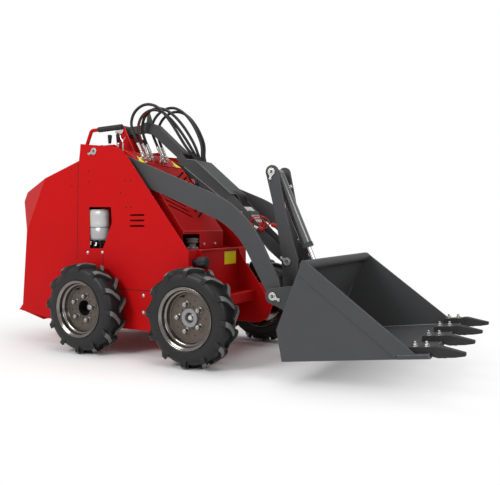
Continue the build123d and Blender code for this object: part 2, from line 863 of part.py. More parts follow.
# Link: hub, neck, box and the fork that holds the mast
link_plate = 8.0
fork_outer = mast_inner - 13
neck_half = 20.0
fin_half = 5.0
stop_depth = 34.0
stop_shift = 2.0
with BuildPart() as link_frame:
    for side in (-1, 1):
        plane, thickness = between(fork_outer - link_plate, fork_outer, side)
        with BuildSketch(plane):
            with BuildLine():
                Polyline(
                    (60, 1222),
                    (100, 1172),
                    (180, 1160),
                    (430, 951),
                    (628, 745),
                    (790, 606),
                    shifted(mast_link_pin, 36, 0),
                    shifted(mast_link_pin, -10, -36),
                    (660, 632),
                    (449, 860),
                    (83, 1124),
                    (20, 1185),
                    close=True,
                )
            make_face()
            with Locations(mast_link_pin):
                Circle(36)
                Circle(pin_radius, mode=Mode.SUBTRACT)
        extrude(amount=thickness)
    with BuildSketch(side_plane(fork_outer)):
        with BuildLine():
            Polyline((83, 1124), (449, 860), (660, 632), (666, 638), (455, 867), (88, 1131), close=True)
        make_face()
        with BuildLine():
            Polyline((60, 1222), (20, 1185), (27, 1180), (67, 1214), close=True)
        make_face()
    extrude(amount=2 * fork_outer)
    with BuildSketch(side_plane(30)):
        with BuildLine():
            Polyline(
                (-262, 1434),
                (-228, 1437),
                (-160, 1414),
                (62, 1222),
                (22, 1183),
                (-190, 1356),
                (-248, 1367),
                close=True,
            )
        make_face()
    extrude(amount=60)
    with BuildSketch(side_plane(neck_half)):
        with BuildLine():
            Polyline(
                shifted(link_pivot, 0, 26),
                (-240, 1424),
                (-240, 1376),
                shifted(link_pivot, 0, -26),
                close=True,
            )
        make_face()
    extrude(amount=2 * neck_half)
    with BuildSketch(side_plane(fin_half)):
        with BuildLine():
            Polyline((-258, 1430), (-246, 1500), (-232, 1500), (-206, 1425), close=True)
        make_face()
    extrude(amount=2 * fin_half)
    hose_run = (hose_end[0] - hose_near_end[0], hose_end[1] - hose_near_end[1])
    hose_stop = Plane(
        origin=(hose_end[0], 0, hose_end[1]),
        x_dir=(0, 1, 0),
        z_dir=(hose_run[0], 0, hose_run[1]),
    )
    with BuildSketch(hose_stop.offset(seat_gap)):
        with Locations((0, stop_shift)):
            Rectangle(2 * (fork_outer - link_plate) + 2, stop_depth)
    extrude(amount=link_plate)
    with BuildSketch(side_plane(bracket_inner - 5)):
        with Locations(link_pivot):
            Circle(36)
    extrude(amount=2 * (bracket_inner - 5))
    with BuildSketch(side_plane(bracket_inner)):
        with Locations(link_pivot):
            Circle(pin_radius + pivot_gap)
    extrude(amount=2 * bracket_inner, mode=Mode.SUBTRACT)
keep(link_frame, "link_frame")

with BuildPart() as link_pivot_pin:
    flag_pin(link_pivot, -bracket_inner - bracket_plate, bracket_inner + bracket_plate, 190)
keep(link_pivot_pin, "link_pivot_pin")

with BuildPart() as link_fork_pin:
    flag_pin(mast_link_pin, -mast_outer - 1, mast_outer + 1, 150)
keep(link_fork_pin, "link_fork_pin")

cover_half = 90.0
cover_plate = 6.0
cover_rear = (180.0, 1160.0)
cover_front = (430.0, 951.0)
cover_slope = degrees(atan2(cover_front[1] - cover_rear[1], cover_front[0] - cover_rear[0]))
cover_length = hypot(cover_front[0] - cover_rear[0], cover_front[1] - cover_rear[1])
cover_plane = Plane(
    origin=(cover_rear[0], 0, cover_rear[1]),
    x_dir=(cos(radians(cover_slope)), 0, sin(radians(cover_slope))),
    z_dir=(-sin(radians(cover_slope)), 0, cos(radians(cover_slope))),
)
with BuildPart() as link_cover:
    with BuildSketch(cover_plane.offset(seat_gap)):
        with Locations((cover_length / 2, 0)):
            Rectangle(cover_length, 2 * cover_half)
    extrude(amount=cover_plate)
keep(link_cover, "link_cover")

coupler_pitch = 24.0
coupler_plane = Plane(
    origin=(520, 0, 846),
    x_dir=(0, 1, 0),
    z_dir=(0.69, 0, -0.72),
)
with BuildPart() as couplers:
    with BuildSketch(coupler_plane):
        Rectangle(2 * (fork_outer - link_plate - seat_gap), 30)
    extrude(amount=26)
    for number in range(4):
        y = (number - 1.5) * coupler_pitch
        for radius, low, high in ((8, -22, 0), (11, 26, 48), (9, 48, 72), (11, 72, 84)):
            with BuildSketch(coupler_plane.offset(low)):
                with Locations((y, 0)):
                    Circle(radius)
            extrude(amount=high - low)
keep(couplers, "couplers")

# Cylinders: the barrel turns on its base pin, the rod slides along it
def along(base, eye):
    """Unit direction from a cylinder's base pin to its rod eye, as x and z."""
    run = (eye[0] - base[0], eye[1] - base[1])
    length = hypot(*run)
    return (run[0] / length, run[1] / length), length


def cylinder_plane(base, eye, y, distance):
    """Plane square to a cylinder at a distance from its base pin."""
    run, _ = along(base, eye)
    return Plane(
        origin=(base[0] + run[0] * distance, y, base[1] + run[1] * distance),
        x_dir=(0, 1, 0),
        z_dir=(run[0], 0, run[1]),
    )


def build_barrel(base, eye, y, radius, rod_radius, length, eye_width):
    """Barrel with a base eye, a bore for the rod and a gland at its mouth."""
    foot = eye_radius * 0.6
    with BuildPart() as barrel:
        with BuildSketch(cylinder_plane(base, eye, y, foot)):
            Circle(radius)
        extrude(amount=length - foot)
        with BuildSketch(side_plane(y + eye_width / 2)):
            with Locations(base):
                Circle(eye_radius * 0.75)
        extrude(amount=eye_width)
        with BuildSketch(cylinder_plane(base, eye, y, eye_radius + 12)):
            Circle(rod_radius + pivot_gap)
        extrude(amount=length, mode=Mode.SUBTRACT)
        with BuildSketch(side_plane(y + eye_width)):
            with Locations(base):
                Circle(pin_radius + pivot_gap)
        extrude(amount=2 * eye_width, mode=Mode.SUBTRACT)
    return barrel


def build_rod(base, eye, y, radius, inside, eye_width):
    """Rod with its eye, and the eye's pin between the two ears."""
    _, length = along(base, eye)
    with BuildPart() as rod:
        with BuildSketch(cylinder_plane(base, eye, y, inside)):
            Circle(radius)
        extrude(amount=length - inside)
        with BuildSketch(side_plane(y + eye_width / 2)):
            with Locations(eye):
                Circle(eye_radius * 0.75)
        extrude(amount=eye_width)
    return rod


tilt_barrel = build_barrel(
    tilt_base, tilt_eye, 0, tilt_barrel_radius, tilt_rod_radius, tilt_barrel_length, 60
)
keep(tilt_barrel, "tilt_barrel")
tilt_rod = build_rod(tilt_base, tilt_eye, 0, tilt_rod_radius, tilt_rod_inside, 56)
keep(tilt_rod, "tilt_rod")
lift_y = (frame_outer + arm_inner) / 2
lift_barrel_right = build_barrel(
    lift_base, lift_eye, -lift_y, lift_barrel_radius, lift_rod_radius, lift_barrel_length, 34
)
keep(lift_barrel_right, "lift_barrel_right")
mirrored(lift_barrel_right, "lift_barrel_left")
lift_rod_right = build_rod(
    lift_base, lift_eye, -lift_y, lift_rod_radius, lift_rod_inside, 34
)
keep(lift_rod_right, "lift_rod_right")
mirrored(lift_rod_right, "lift_rod_left")

# Bucket
edge_gap = 0.8
edge_rise = (edge_front[1] - bucket_floor_front[1]) / (edge_front[0] - bucket_floor_front[0])
shell_half = bucket_half - strip_plate


def edge_top(x):
    """Height of the cutting edge's upper face."""
    return bucket_floor_front[1] + edge_plate + edge_rise * (x - bucket_floor_front[0])


with BuildPart() as bucket_shell:
    wrap = [bucket_top, bucket_knee, bucket_heel, bucket_floor_front]
    step = (bucket_floor_front[0], edge_top(bucket_floor_front[0]) + edge_gap)
    toe = (bucket_toe[0], edge_top(bucket_toe[0]) + edge_gap)
    inside = offset_chain(wrap, bucket_wall)
    with BuildSketch(side_plane(shell_half)):
        with BuildLine():
            Polyline(*wrap, step, toe, bucket_lip, close=True)
        make_face()
    extrude(amount=2 * shell_half)
    with BuildSketch(side_plane(shell_half - bucket_wall)):
        with BuildLine():
            Polyline(
                inside[0],
                inside[1],
                inside[2],
                inside[3],
                shifted(toe, 60, 0),
                shifted(bucket_lip, 200, 120),
                shifted(inside[0], 0, 60),
                close=True,
            )
        make_face()
    extrude(amount=2 * (shell_half - bucket_wall), mode=Mode.SUBTRACT)
    with BuildSketch(side_plane(shell_half - 1)):
        with Locations((1066, 578)):
            Circle(24)
    extrude(amount=2 * (shell_half - 1))
    for side in (-1, 1):
        plane, thickness = between(shell_half, bucket_half, side)
        with BuildSketch(plane):
            with BuildLine():
                Polyline(bucket_top, (1036, 541), (1500, 192), step, toe, bucket_lip, close=True)
            make_face()
        extrude(amount=thickness)
    for side in (-1, 1):
        plane, thickness = between(ear_inner, ear_inner + ear_plate, side)
        with BuildSketch(plane):
            with BuildLine():
                Polyline(
                    shifted(mast_foot, 0, 42),
                    (990, 470),
                    (945, 300),
                    shifted(mast_foot, 0, -42),
                    close=True,
                )
            make_face()
            with Locations(mast_foot):
                Circle(42)
                Circle(pin_radius + pivot_gap, mode=Mode.SUBTRACT)
        extrude(amount=thickness)
        plane, thickness = between(34, 46, side)
        with BuildSketch(plane):
            with BuildLine():
                Polyline(
                    shifted(tilt_eye, 0, eye_radius),
                    (1050, 595),
                    (1015, 500),
                    shifted(tilt_eye, 0, -eye_radius),
                    close=True,
                )
            make_face()
            with Locations(tilt_eye):
                Circle(eye_radius)
        extrude(amount=thickness)
keep(bucket_shell, "bucket_shell")

edge_back = bucket_floor_front[0] + edge_gap
edge_nose = edge_front[0] - edge_plate / 2
with BuildPart() as cutting_edge:
    with BuildSketch(side_plane(bucket_half)):
        with BuildLine():
            Polyline(
                shifted(bucket_floor_front, edge_gap, 0),
                edge_front,
                (edge_nose, edge_top(edge_nose)),
                (edge_back, edge_top(edge_back)),
                close=True,
            )
        make_face()
    extrude(amount=2 * bucket_half)
keep(cutting_edge, "cutting_edge")

# Teeth: a bolted shank on the cutting edge, a nose and a tapered point
shank_overlap = 103.0
shank_back = edge_front[0] - shank_overlap
with BuildPart() as tooth:
    with BuildSketch(side_plane(shank_width / 2 + 3)):
        with BuildLine():
            Polyline(
                (shank_back, edge_top(shank_back) + seat_gap),
                (shank_back, 236),
                (1641, 246),
                (1666, 251),
                (1688, 248),
                (tooth_tip, 233),
                (tooth_tip, 219),
                (1740, 210),
                (1691, 205),
                (1676, 202),
                (edge_front[0] + 5, 205),
                (edge_nose + 4, edge_top(edge_nose) + 1),
                (edge_nose, edge_top(edge_nose) + seat_gap),
                close=True,
            )
        make_face()
    extrude(amount=shank_width + 6)
    with BuildSketch(Plane.XY.offset(150)):
        with BuildLine():
            half = shank_width / 2
            right = [
                (shank_back, -half),
                (1641, -half),
                (1666, -half - 3),
                (1688, -half - 3),
                (1700, -half),
                (tooth_tip, -tip_width / 2),
            ]
            left = [(x, -y) for x, y in reversed(right)]
            Polyline(*right, *left, close=True)
        make_face()
    extrude(amount=150, mode=Mode.INTERSECT)
with BuildPart() as bucket_teeth:
    for number in range(tooth_count):
        y = tooth_span * (number / (tooth_count - 1) - 0.5)
        add(tooth.part.moved(Location((0, y, 0))))
keep(bucket_teeth, "bucket_teeth")
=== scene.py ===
import json
import logging
import math
from dataclasses import dataclass, field
from enum import Enum
from typing import Iterable, Optional, Sequence, Union

import bmesh
import bpy
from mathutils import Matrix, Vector


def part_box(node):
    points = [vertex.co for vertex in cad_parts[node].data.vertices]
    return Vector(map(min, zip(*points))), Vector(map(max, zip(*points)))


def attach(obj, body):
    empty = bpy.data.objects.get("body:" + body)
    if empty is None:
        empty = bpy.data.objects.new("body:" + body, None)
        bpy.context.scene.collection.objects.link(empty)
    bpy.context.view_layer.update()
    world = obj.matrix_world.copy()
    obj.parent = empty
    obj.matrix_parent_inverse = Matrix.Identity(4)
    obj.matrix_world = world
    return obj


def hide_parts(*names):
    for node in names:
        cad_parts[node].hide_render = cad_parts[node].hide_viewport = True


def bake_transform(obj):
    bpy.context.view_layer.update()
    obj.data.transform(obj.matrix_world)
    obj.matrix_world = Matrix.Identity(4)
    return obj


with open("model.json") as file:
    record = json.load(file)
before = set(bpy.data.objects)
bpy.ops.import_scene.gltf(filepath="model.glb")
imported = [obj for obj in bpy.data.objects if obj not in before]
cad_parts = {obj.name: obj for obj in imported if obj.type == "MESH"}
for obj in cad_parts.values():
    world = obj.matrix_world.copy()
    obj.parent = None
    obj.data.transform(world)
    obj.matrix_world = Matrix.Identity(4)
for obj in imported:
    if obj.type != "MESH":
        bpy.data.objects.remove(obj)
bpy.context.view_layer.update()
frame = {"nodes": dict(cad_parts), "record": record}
LOG = logging.getLogger("loader")
Point = Sequence[float]
Number = Union[int, float]


# Shader tools

class Value:
    """A shader socket that Python arithmetic turns into Math nodes."""

    def __init__(self, graph: "Graph", socket: bpy.types.NodeSocket) -> None:
        """Wrap a socket of the graph.

        Args:
            graph: the graph that new nodes go into.
            socket: the output socket that holds the value.
        """
        self.graph = graph
        self.socket = socket

    def _math(self, operation: str, *terms: Union["Value", Number]) -> "Value":
        """Add one Math node over the terms and return its result."""
        return self.graph.add("ShaderNodeMath", {"operation": operation}, dict(enumerate(terms)))

    def __add__(self, other: Union["Value", Number]) -> "Value":
        """Return the sum."""
        return self._math("ADD", self, other)

    def __sub__(self, other: Union["Value", Number]) -> "Value":
        """Return the difference."""
        return self._math("SUBTRACT", self, other)

    def __rsub__(self, other: Number) -> "Value":
        """Return a number minus this value."""
        return self._math("SUBTRACT", other, self)

    def __mul__(self, other: Union["Value", Number]) -> "Value":
        """Return the product."""
        return self._math("MULTIPLY", self, other)

    def larger(self, other: Union["Value", Number]) -> "Value":
        """Return the larger of two values."""
        return self._math("MAXIMUM", self, other)

    def clamp(self) -> "Value":
        """Return the value held between 0 and 1."""
        return self._math("MINIMUM", self.larger(0.0), 1.0)

    __radd__ = __add__
    __rmul__ = __mul__


class Graph:
    """The node tree of a material or the world, with a single way to add nodes."""

    def __init__(self, owner: Union[bpy.types.Material, bpy.types.World]) -> None:
        """Start an empty node tree.

        Args:
            owner: the material or world that the tree belongs to.
        """
        owner.use_nodes = True
        self.owner = owner
        self.tree = owner.node_tree
        self.tree.nodes.clear()

    def add(
        self,
        kind: str,
        settings: Optional[dict] = None,
        inputs: Optional[dict] = None,
        output: Union[int, str] = 0,
    ) -> Value:
        """Add any node and return one of its outputs.

        Args:
            kind: the node's type.
            settings: attributes set first; "stops" fills a colour ramp.
            inputs: values or links for its sockets, by name or number.
            output: the output socket to return.

        Returns:
            The chosen output, ready for arithmetic.
        """
        node = self.tree.nodes.new(kind)
        for key, value in (settings or {}).items():
            if key == "stops":
                ramp = node.color_ramp
                while len(ramp.elements) < len(value):
                    ramp.elements.new(0.5)
                for element, (place, colour) in zip(ramp.elements, value):
                    element.position = place
                    element.color = colour
            else:
                setattr(node, key, value)
        for key, value in (inputs or {}).items():
            if isinstance(value, Value):
                self.tree.links.new(value.socket, node.inputs[key])
            else:
                node.inputs[key].default_value = value
        found = node.outputs[output] if len(node.outputs) else None
        return Value(self, found)

    def place(self) -> Value:
        """Return the position in the piece's own axes, in metres."""
        return self.add("ShaderNodeTexCoord", output="Object")

    def noise(self, scale: float, detail: float = 3.0, stretch: Point = (1, 1, 1)) -> Value:
        """Add smooth noise.

        Args:
            scale: cells per metre.
            detail: octaves.
            stretch: scaling along each axis.

        Returns:
            The noise, from 0 to 1.
        """
        place = self.add("ShaderNodeMapping", {}, {"Vector": self.place(), "Scale": stretch})
        inputs = {"Vector": place, "Scale": scale, "Detail": detail}
        return self.add("ShaderNodeTexNoise", {}, inputs)

    def mix(self, share: Union[Value, Number], low: Point, high: Point) -> Value:
        """Mix two colours.

        Args:
            share: how much of the second colour shows, from 0 to 1.
            low: the first colour.
            high: the second colour.

        Returns:
            The mixed colour.
        """
        return self.add("ShaderNodeMix", {"data_type": "RGBA"}, {0: share, 6: low, 7: high}, 2)

    def bump(self, height: Value, depth: float) -> Value:
        """Return a normal bumped by a height, with its depth in metres."""
        inputs = {"Height": height, "Distance": depth, "Strength": 1.0}
        return self.add("ShaderNodeBump", {}, inputs)

    def finish(self, **inputs: object) -> bpy.types.Material:
        """Close the graph with a principled shader.

        Args:
            inputs: the shader's sockets, with underscores for spaces.

        Returns:
            The finished material.
        """
        named = {key.replace("_", " "): value for key, value in inputs.items()}
        shader = self.add("ShaderNodeBsdfPrincipled", {}, named)
        self.add("ShaderNodeOutputMaterial", {}, {"Surface": shader})
        return self.owner


def rgba(red: float, green: float, blue: float) -> tuple:
    """Return a colour with full alpha."""
    return (red, green, blue, 1.0)


# Finishes

@dataclass(frozen=True)
class Coating:
    """Powder coat: an even colour with slow mottling and an orange peel surface."""

    name: str
    colour: tuple
    shade: tuple
    roughness: float
    gloss: float
    specular: float = 0.06
    peel: float = 0.00008
    peel_scale: float = 300.0
    uneven: float = 0.05

    def make(self) -> bpy.types.Material:
        """Build the coating.

        Returns:
            The finished material.
        """
        graph = Graph(bpy.data.materials.new(self.name))
        cloud = graph.noise(2.3, 4.0)
        fine = graph.noise(34.0, 3.0)
        share = (cloud * 0.7 + fine * 0.3).clamp()
        dust = graph.noise(7.0, 6.0)
        peel = graph.noise(self.peel_scale, 2.0)
        return graph.finish(
            Base_Color=graph.mix(share, self.shade, self.colour),
            Roughness=(self.roughness - self.uneven) + dust * (2 * self.uneven),
            Normal=graph.bump(peel, self.peel),
            Coat_Weight=self.gloss,
            Coat_Roughness=0.14,
            Specular_IOR_Level=self.specular,
        )


@dataclass(frozen=True)
class Metal:
    """Bare or plated metal with fine turning or rolling marks."""

    name: str
    colour: tuple
    stain: tuple
    roughness: float
    marks: float = 0.00005
    mark_scale: float = 160.0
    stretch: tuple = (1.0, 8.0, 1.0)
    metallic: float = 1.0
    uneven: float = 0.08

    def make(self) -> bpy.types.Material:
        """Build the metal.

        Returns:
            The finished material.
        """
        graph = Graph(bpy.data.materials.new(self.name))
        cloud = graph.noise(14.0, 5.0)
        marks = graph.noise(self.mark_scale, 3.0, self.stretch)
        return graph.finish(
            Base_Color=graph.mix(cloud, self.stain, self.colour),
            Metallic=self.metallic,
            Roughness=(self.roughness - self.uneven) + cloud * (2 * self.uneven),
            Normal=graph.bump(marks, self.marks),
        )


@dataclass(frozen=True)
class Moulded:
    """Rubber or plastic with a fine matt grain."""

    name: str
    colour: tuple
    bloom: tuple
    roughness: float
    grain: float = 0.0002
    grain_scale: float = 420.0
    specular: float = 0.30
    uneven: float = 0.06

    def make(self) -> bpy.types.Material:
        """Build the moulding.

        Returns:
            The finished material.
        """
        graph = Graph(bpy.data.materials.new(self.name))
        cloud = graph.noise(9.0, 5.0)
        grain = graph.noise(self.grain_scale, 2.0)
        return graph.finish(
            Base_Color=graph.mix(cloud, self.colour, self.bloom),
            Roughness=(self.roughness - self.uneven) + cloud * (2 * self.uneven),
            Specular_IOR_Level=self.specular,
            Normal=graph.bump(grain, self.grain),
        )


class Finish(Enum):
    """Every finish of the machine, by the slot it is named after."""

    RED_PAINT = Coating(
        "red_paint", rgba(0.50, 0.0062, 0.0072), rgba(0.43, 0.005, 0.006), 0.42, 0.0
    )
    # Paler red for the rounded edges: a painted highlight standing for the light that the edges
    # catch.
    RED_EDGE = Coating("red_edge_highlight", rgba(0.88, 0.115, 0.105), rgba(0.62, 0.030, 0.028), 0.36, 0.1)
    GREY_PAINT = Coating(
        "grey_paint", rgba(0.080, 0.081, 0.084), rgba(0.058, 0.059, 0.061), 0.44, 0.0
    )
    # Paler grey for the rounded edges and the weld beads: a painted highlight standing for the
    # light that they catch.
    GREY_EDGE = Coating("grey_edge_highlight", rgba(0.30, 0.30, 0.305), rgba(0.10, 0.101, 0.105), 0.36, 0.1)
    CAST = Coating(
        "cast", rgba(0.034, 0.034, 0.036), rgba(0.020, 0.020, 0.021), 0.55, 0.0, 0.2, 0.0009, 150.0
    )
    BARREL_PAINT = Coating(
        "barrel_paint", rgba(0.062, 0.063, 0.066), rgba(0.052, 0.053, 0.055), 0.26, 1.0, 0.6
    )
    TYRE = Moulded(
        "tyre", rgba(0.0075, 0.0075, 0.0077), rgba(0.016, 0.0158, 0.0158), 0.44, 0.0003, 240.0
    )
    RIM_STEEL = Metal("rim_steel", rgba(0.32, 0.30, 0.285), rgba(0.115, 0.10, 0.09), 0.18)
    TREAD = Moulded(
        "tread", rgba(0.085, 0.085, 0.084), rgba(0.19, 0.188, 0.185), 0.60, 0.0003, 240.0
    )
    DISC_STEEL = Metal(
        "disc_steel", rgba(0.135, 0.112, 0.094), rgba(0.085, 0.067, 0.054), 0.46, metallic=0.6
    )
    NUT_STEEL = Metal("nut_steel", rgba(0.46, 0.45, 0.44), rgba(0.30, 0.29, 0.28), 0.30)
    ZINC = Metal("zinc", rgba(0.66, 0.655, 0.63), rgba(0.46, 0.455, 0.43), 0.33)
    CHROME = Metal("chrome", rgba(0.72, 0.72, 0.73), rgba(0.66, 0.66, 0.67), 0.12, 0.00001)
    BLACK_PLASTIC = Moulded(
        "black_plastic", rgba(0.009, 0.009, 0.010), rgba(0.016, 0.016, 0.017), 0.42
    )
    HOSE_RUBBER = Moulded(
        "hose_rubber", rgba(0.008, 0.008, 0.009), rgba(0.014, 0.014, 0.015), 0.44, 0.00008
    )
    RED_PLASTIC = Moulded(
        "red_plastic", rgba(0.50, 0.007, 0.007), rgba(0.43, 0.006, 0.006), 0.38, 0.00004
    )
    ENGINE = Moulded("engine", rgba(0.02, 0.02, 0.021), rgba(0.045, 0.042, 0.04), 0.55)
    CANISTER = Coating("canister", rgba(0.50, 0.50, 0.505), rgba(0.42, 0.42, 0.425), 0.30, 0.4, 0.5)
    HUB_GREY = Coating("hub_grey", rgba(0.26, 0.26, 0.262), rgba(0.20, 0.20, 0.202), 0.40, 0.1, 0.4)
    BOWL = Coating("bowl", rgba(0.40, 0.40, 0.40), rgba(0.30, 0.30, 0.30), 0.22, 0.6, 0.5)
    YELLOW = Coating("yellow_plate", rgba(0.95, 0.80, 0.010), rgba(0.92, 0.76, 0.010), 0.45, 0.1)
    DARK = Moulded("dark", rgba(0.003, 0.003, 0.003), rgba(0.005, 0.005, 0.005), 0.8)

    def material(self) -> bpy.types.Material:
        """Return the finish's material, built on first use."""
        if self not in MADE:
            MADE[self] = self.value.make()
        return MADE[self]


MADE: dict = {}


# Mesh tools

def circle(centre: Point, axis: Point, radius: float, sides: int = 24) -> list:
    """Make a ring of points.

    Args:
        centre: its middle.
        axis: the direction that it faces.
        radius: its radius in metres.
        sides: how many points it has.

    Returns:
        The ring's points.
    """
    face = Vector(axis).normalized()
    across = face.orthogonal().normalized()
    if abs(face.y) < 0.9:
        across = face.cross(Vector((0, 1, 0))).normalized()
    up = face.cross(across)
    turns = (math.tau * number / sides for number in range(sides))
    return [Vector(centre) + (across * math.cos(a) + up * math.sin(a)) * radius for a in turns]


def soften(
    made: bpy.types.Object, width: float, angle: float, keep_sharp: bool = False
) -> bpy.types.Modifier:
    """Round a piece's edges and weight its normals by face area.

    Args:
        made: the piece.
        width: the width of the rounded edges.
        angle: edges sharper than this, in degrees, are rounded.
        keep_sharp: leaves the edges that are marked sharp crisp.

    Returns:
        The bevel, for further settings.
    """
    bevel = made.modifiers.new("edge", "BEVEL")
    bevel.width = width
    bevel.segments = 2
    bevel.limit_method = "ANGLE"
    bevel.angle_limit = math.radians(angle)
    weighted = made.modifiers.new("normals", "WEIGHTED_NORMAL")
    weighted.mode = "FACE_AREA"
    weighted.weight = 100
    weighted.keep_sharp = keep_sharp
    return bevel


def smooth_line(points: Sequence[Point], name: str) -> list:
    """Read points along a smooth spline.

    Args:
        points: the spline's control points.
        name: what the spline is called while it is read.

    Returns:
        Points along the line that the control points give.
    """
    curve = bpy.data.curves.new(name + "_route", "CURVE")
    curve.dimensions = "3D"
    spline = curve.splines.new("NURBS")
    spline.points.add(len(points) - 1)
    for knot, point in zip(spline.points, points):
        knot.co = (*point, 1.0)
    spline.order_u = 3
    spline.use_endpoint_u = True
    spline.resolution_u = 8
    holder = bpy.data.objects.new(name + "_route", curve)
    bpy.context.scene.collection.objects.link(holder)
    bpy.context.view_layer.update()
    line = bpy.data.meshes.new_from_object(holder)
    path = [vertex.co.copy() for vertex in line.vertices]
    bpy.data.objects.remove(holder)
    bpy.data.meshes.remove(line)
    return path


def bead(start: Point, end: Point, sway: Point, rate: float, spacing: float = 0.012) -> list:
    """Lay a slightly wavy line for a weld.

    Args:
        start: where it starts.
        end: where it ends.
        sway: how far and which way it waves.
        rate: the wave's turn at each step, in radians.
        spacing: the length of a step.

    Returns:
        The line's points.
    """
    steps = max(int(math.dist(start, end) / spacing), 2)
    return [
        tuple(
            a + (b - a) * (step / steps) + shift * math.sin(step * rate)
            for a, b, shift in zip(start, end, sway)
        )
        for step in range(steps + 1)
    ]


def surface(node: str, origin: Point, aim: Point) -> tuple:
    """Find where a ray meets a node.

    Args:
        node: the node's name.
        origin: where the ray starts.
        aim: the way that it goes.

    Returns:
        The point and the normal there.
    """
    found, place, normal, _ = frame["nodes"][node].ray_cast(Vector(origin), Vector(aim))
    if not found:
        raise ValueError(f"no surface of {node} at {origin}")
    return place, normal


class Bolt(Enum):
    """Bolt options: washer profile, its sides, head's lift, width and height, stud profile."""

    WHEEL = (((0, 0.0165), (0.002, 0.0165), (0.003, 0.0155)), 24, 0.002, 0.0265, 0.025,
             ((0.02, 0.0080), (0.030, 0.0080), (0.0315, 0.006)), 18)
    BULKHEAD = (((0, 0.0095), (0.002, 0.0095), (0.0025, 0.009)), 20, 0.002, 0.012, 0.006)
    DECK = (((0, 0.009), (0.002, 0.009), (0.003, 0.008)), 18, 0.0018, 0.013, 0.007)
    PANEL = (((-0.001, 0.0110), (0.0015, 0.0110), (0.002, 0.0105)), 20, 0.0015, 0.013, 0.0065)
    FLAG = (((-0.001, 0.0078), (0.0012, 0.0078), (0.0016, 0.007)), 18, 0.001, 0.0105, 0.0055)
    TOOTH = (((0, 0.0135), (0.003, 0.0135), (0.0035, 0.0125)), 20, 0.003, 0.019, 0.010,
             ((0.012, 0.0058), (0.023, 0.0058), (0.024, 0.005)), 16)


class Shape:
    """A mesh in metres, made of closed lofts."""

    def __init__(self) -> None:
        """Start an empty mesh."""
        self.mesh = bmesh.new()

    def loft(self, rings: Iterable[Iterable[Point]], wrap: bool = False) -> "Shape":
        """Skin equal rings of points.

        Args:
            rings: closed rings, in order.
            wrap: joins the last ring to the first, else both ends are capped.

        Returns:
            The shape itself.
        """
        rows = [[self.mesh.verts.new(Vector(point)) for point in ring] for ring in rings]
        count = len(rows[0])
        pairs = list(zip(rows, rows[1:])) + ([(rows[-1], rows[0])] if wrap else [])
        for low, high in pairs:
            for one in range(count):
                two = (one + 1) % count
                self.mesh.faces.new((low[one], low[two], high[two], high[one]))
        if not wrap:
            self.mesh.faces.new(list(reversed(rows[0])))
            self.mesh.faces.new(rows[-1])
        return self

    def turned(
        self, start: Point, axis: Point, profile: Sequence[tuple], sides: int = 24
    ) -> "Shape":
        """Add a turned form.

        Args:
            start: the point that its profile starts from.
            axis: the way that it points.
            profile: steps of distance along the axis and radius.
            sides: how many sides it has.

        Returns:
            The shape itself.
        """
        face = Vector(axis).normalized()
        return self.loft(
            circle(Vector(start) + face * reach, face, radius, sides) for reach, radius in profile
        )

    def hexagon(self, start: Point, axis: Point, across: float, height: float) -> "Shape":
        """Add a hexagon nut or bolt head with a chamfered top.

        Args:
            start: the middle of its foot.
            axis: the way that it points.
            across: its width across the flats.
            height: its height.

        Returns:
            The shape itself.
        """
        radius = across / math.sqrt(3)
        steps = ((0, radius), (height * 0.85, radius), (height, radius * 0.86))
        return self.turned(start, axis, steps, 6)

    def bolt(self, size: Bolt, foot: Point, axis: Point) -> "Shape":
        """Add a hexagon on a washer, with a stud through it where one shows.

        Args:
            size: the bolt's size.
            foot: the point under the washer.
            axis: the way that it points.

        Returns:
            The shape itself.
        """
        washer, sides, lift, across, height, *stud = size.value
        face = Vector(axis).normalized()
        self.turned(foot, face, washer, sides)
        self.hexagon(Vector(foot) + face * lift, face, across, height)
        return self.turned(foot, face, *stud) if stud else self

    def prism(self, outline: Sequence[Point], depth: Point) -> "Shape":
        """Add a plate: an outline pushed along a depth."""
        return self.loft([outline, [Vector(point) + Vector(depth) for point in outline]])

    def tube(self, path: Sequence[Point], radius: float, sides: int = 16) -> "Shape":
        """Add a round tube.

        Args:
            path: the points along its middle.
            radius: its radius.
            sides: how many sides it has.

        Returns:
            The shape itself.
        """
        points = [Vector(point) for point in path]
        rings = []
        for number, point in enumerate(points):
            run = points[min(number + 1, len(points) - 1)] - points[max(number - 1, 0)]
            rings.append(circle(point, run, radius, sides))
        return self.loft(rings)

    def piece(
        self,
        name: str,
        body: Optional[str],
        finishes: Union[Finish, Sequence[Finish]],
        edge: float = 0.0,
        angle: float = 35.0,
        replaces: Sequence[str] = (),
    ) -> bpy.types.Object:
        """Close the mesh and hand it to its body.

        Args:
            name: the piece's name.
            body: the body that it rides on, or None to leave it unattached.
            finishes: its finish, or one for each material number.
            edge: the width of its rounded edges.
            angle: edges sharper than this, in degrees, stay crisp.
            replaces: nodes that it stands for.

        Returns:
            The new object.
        """
        bmesh.ops.recalc_face_normals(self.mesh, faces=self.mesh.faces)
        mesh = bpy.data.meshes.new(name)
        self.mesh.to_mesh(mesh)
        self.mesh.free()
        made = bpy.data.objects.new(name, mesh)
        bpy.context.scene.collection.objects.link(made)
        chosen = [finishes] if isinstance(finishes, Finish) else list(finishes)
        for finish in chosen:
            mesh.materials.append(finish.material())
        for polygon in mesh.polygons:
            polygon.use_smooth = True
        mesh.set_sharp_from_angle(angle=math.radians(angle))
        if edge:
            soften(made, edge, angle)
        if body:
            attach(made, body)
        for node in replaces:
            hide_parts(node)
        LOG.info("piece %s", name)
        return made


# Hoses

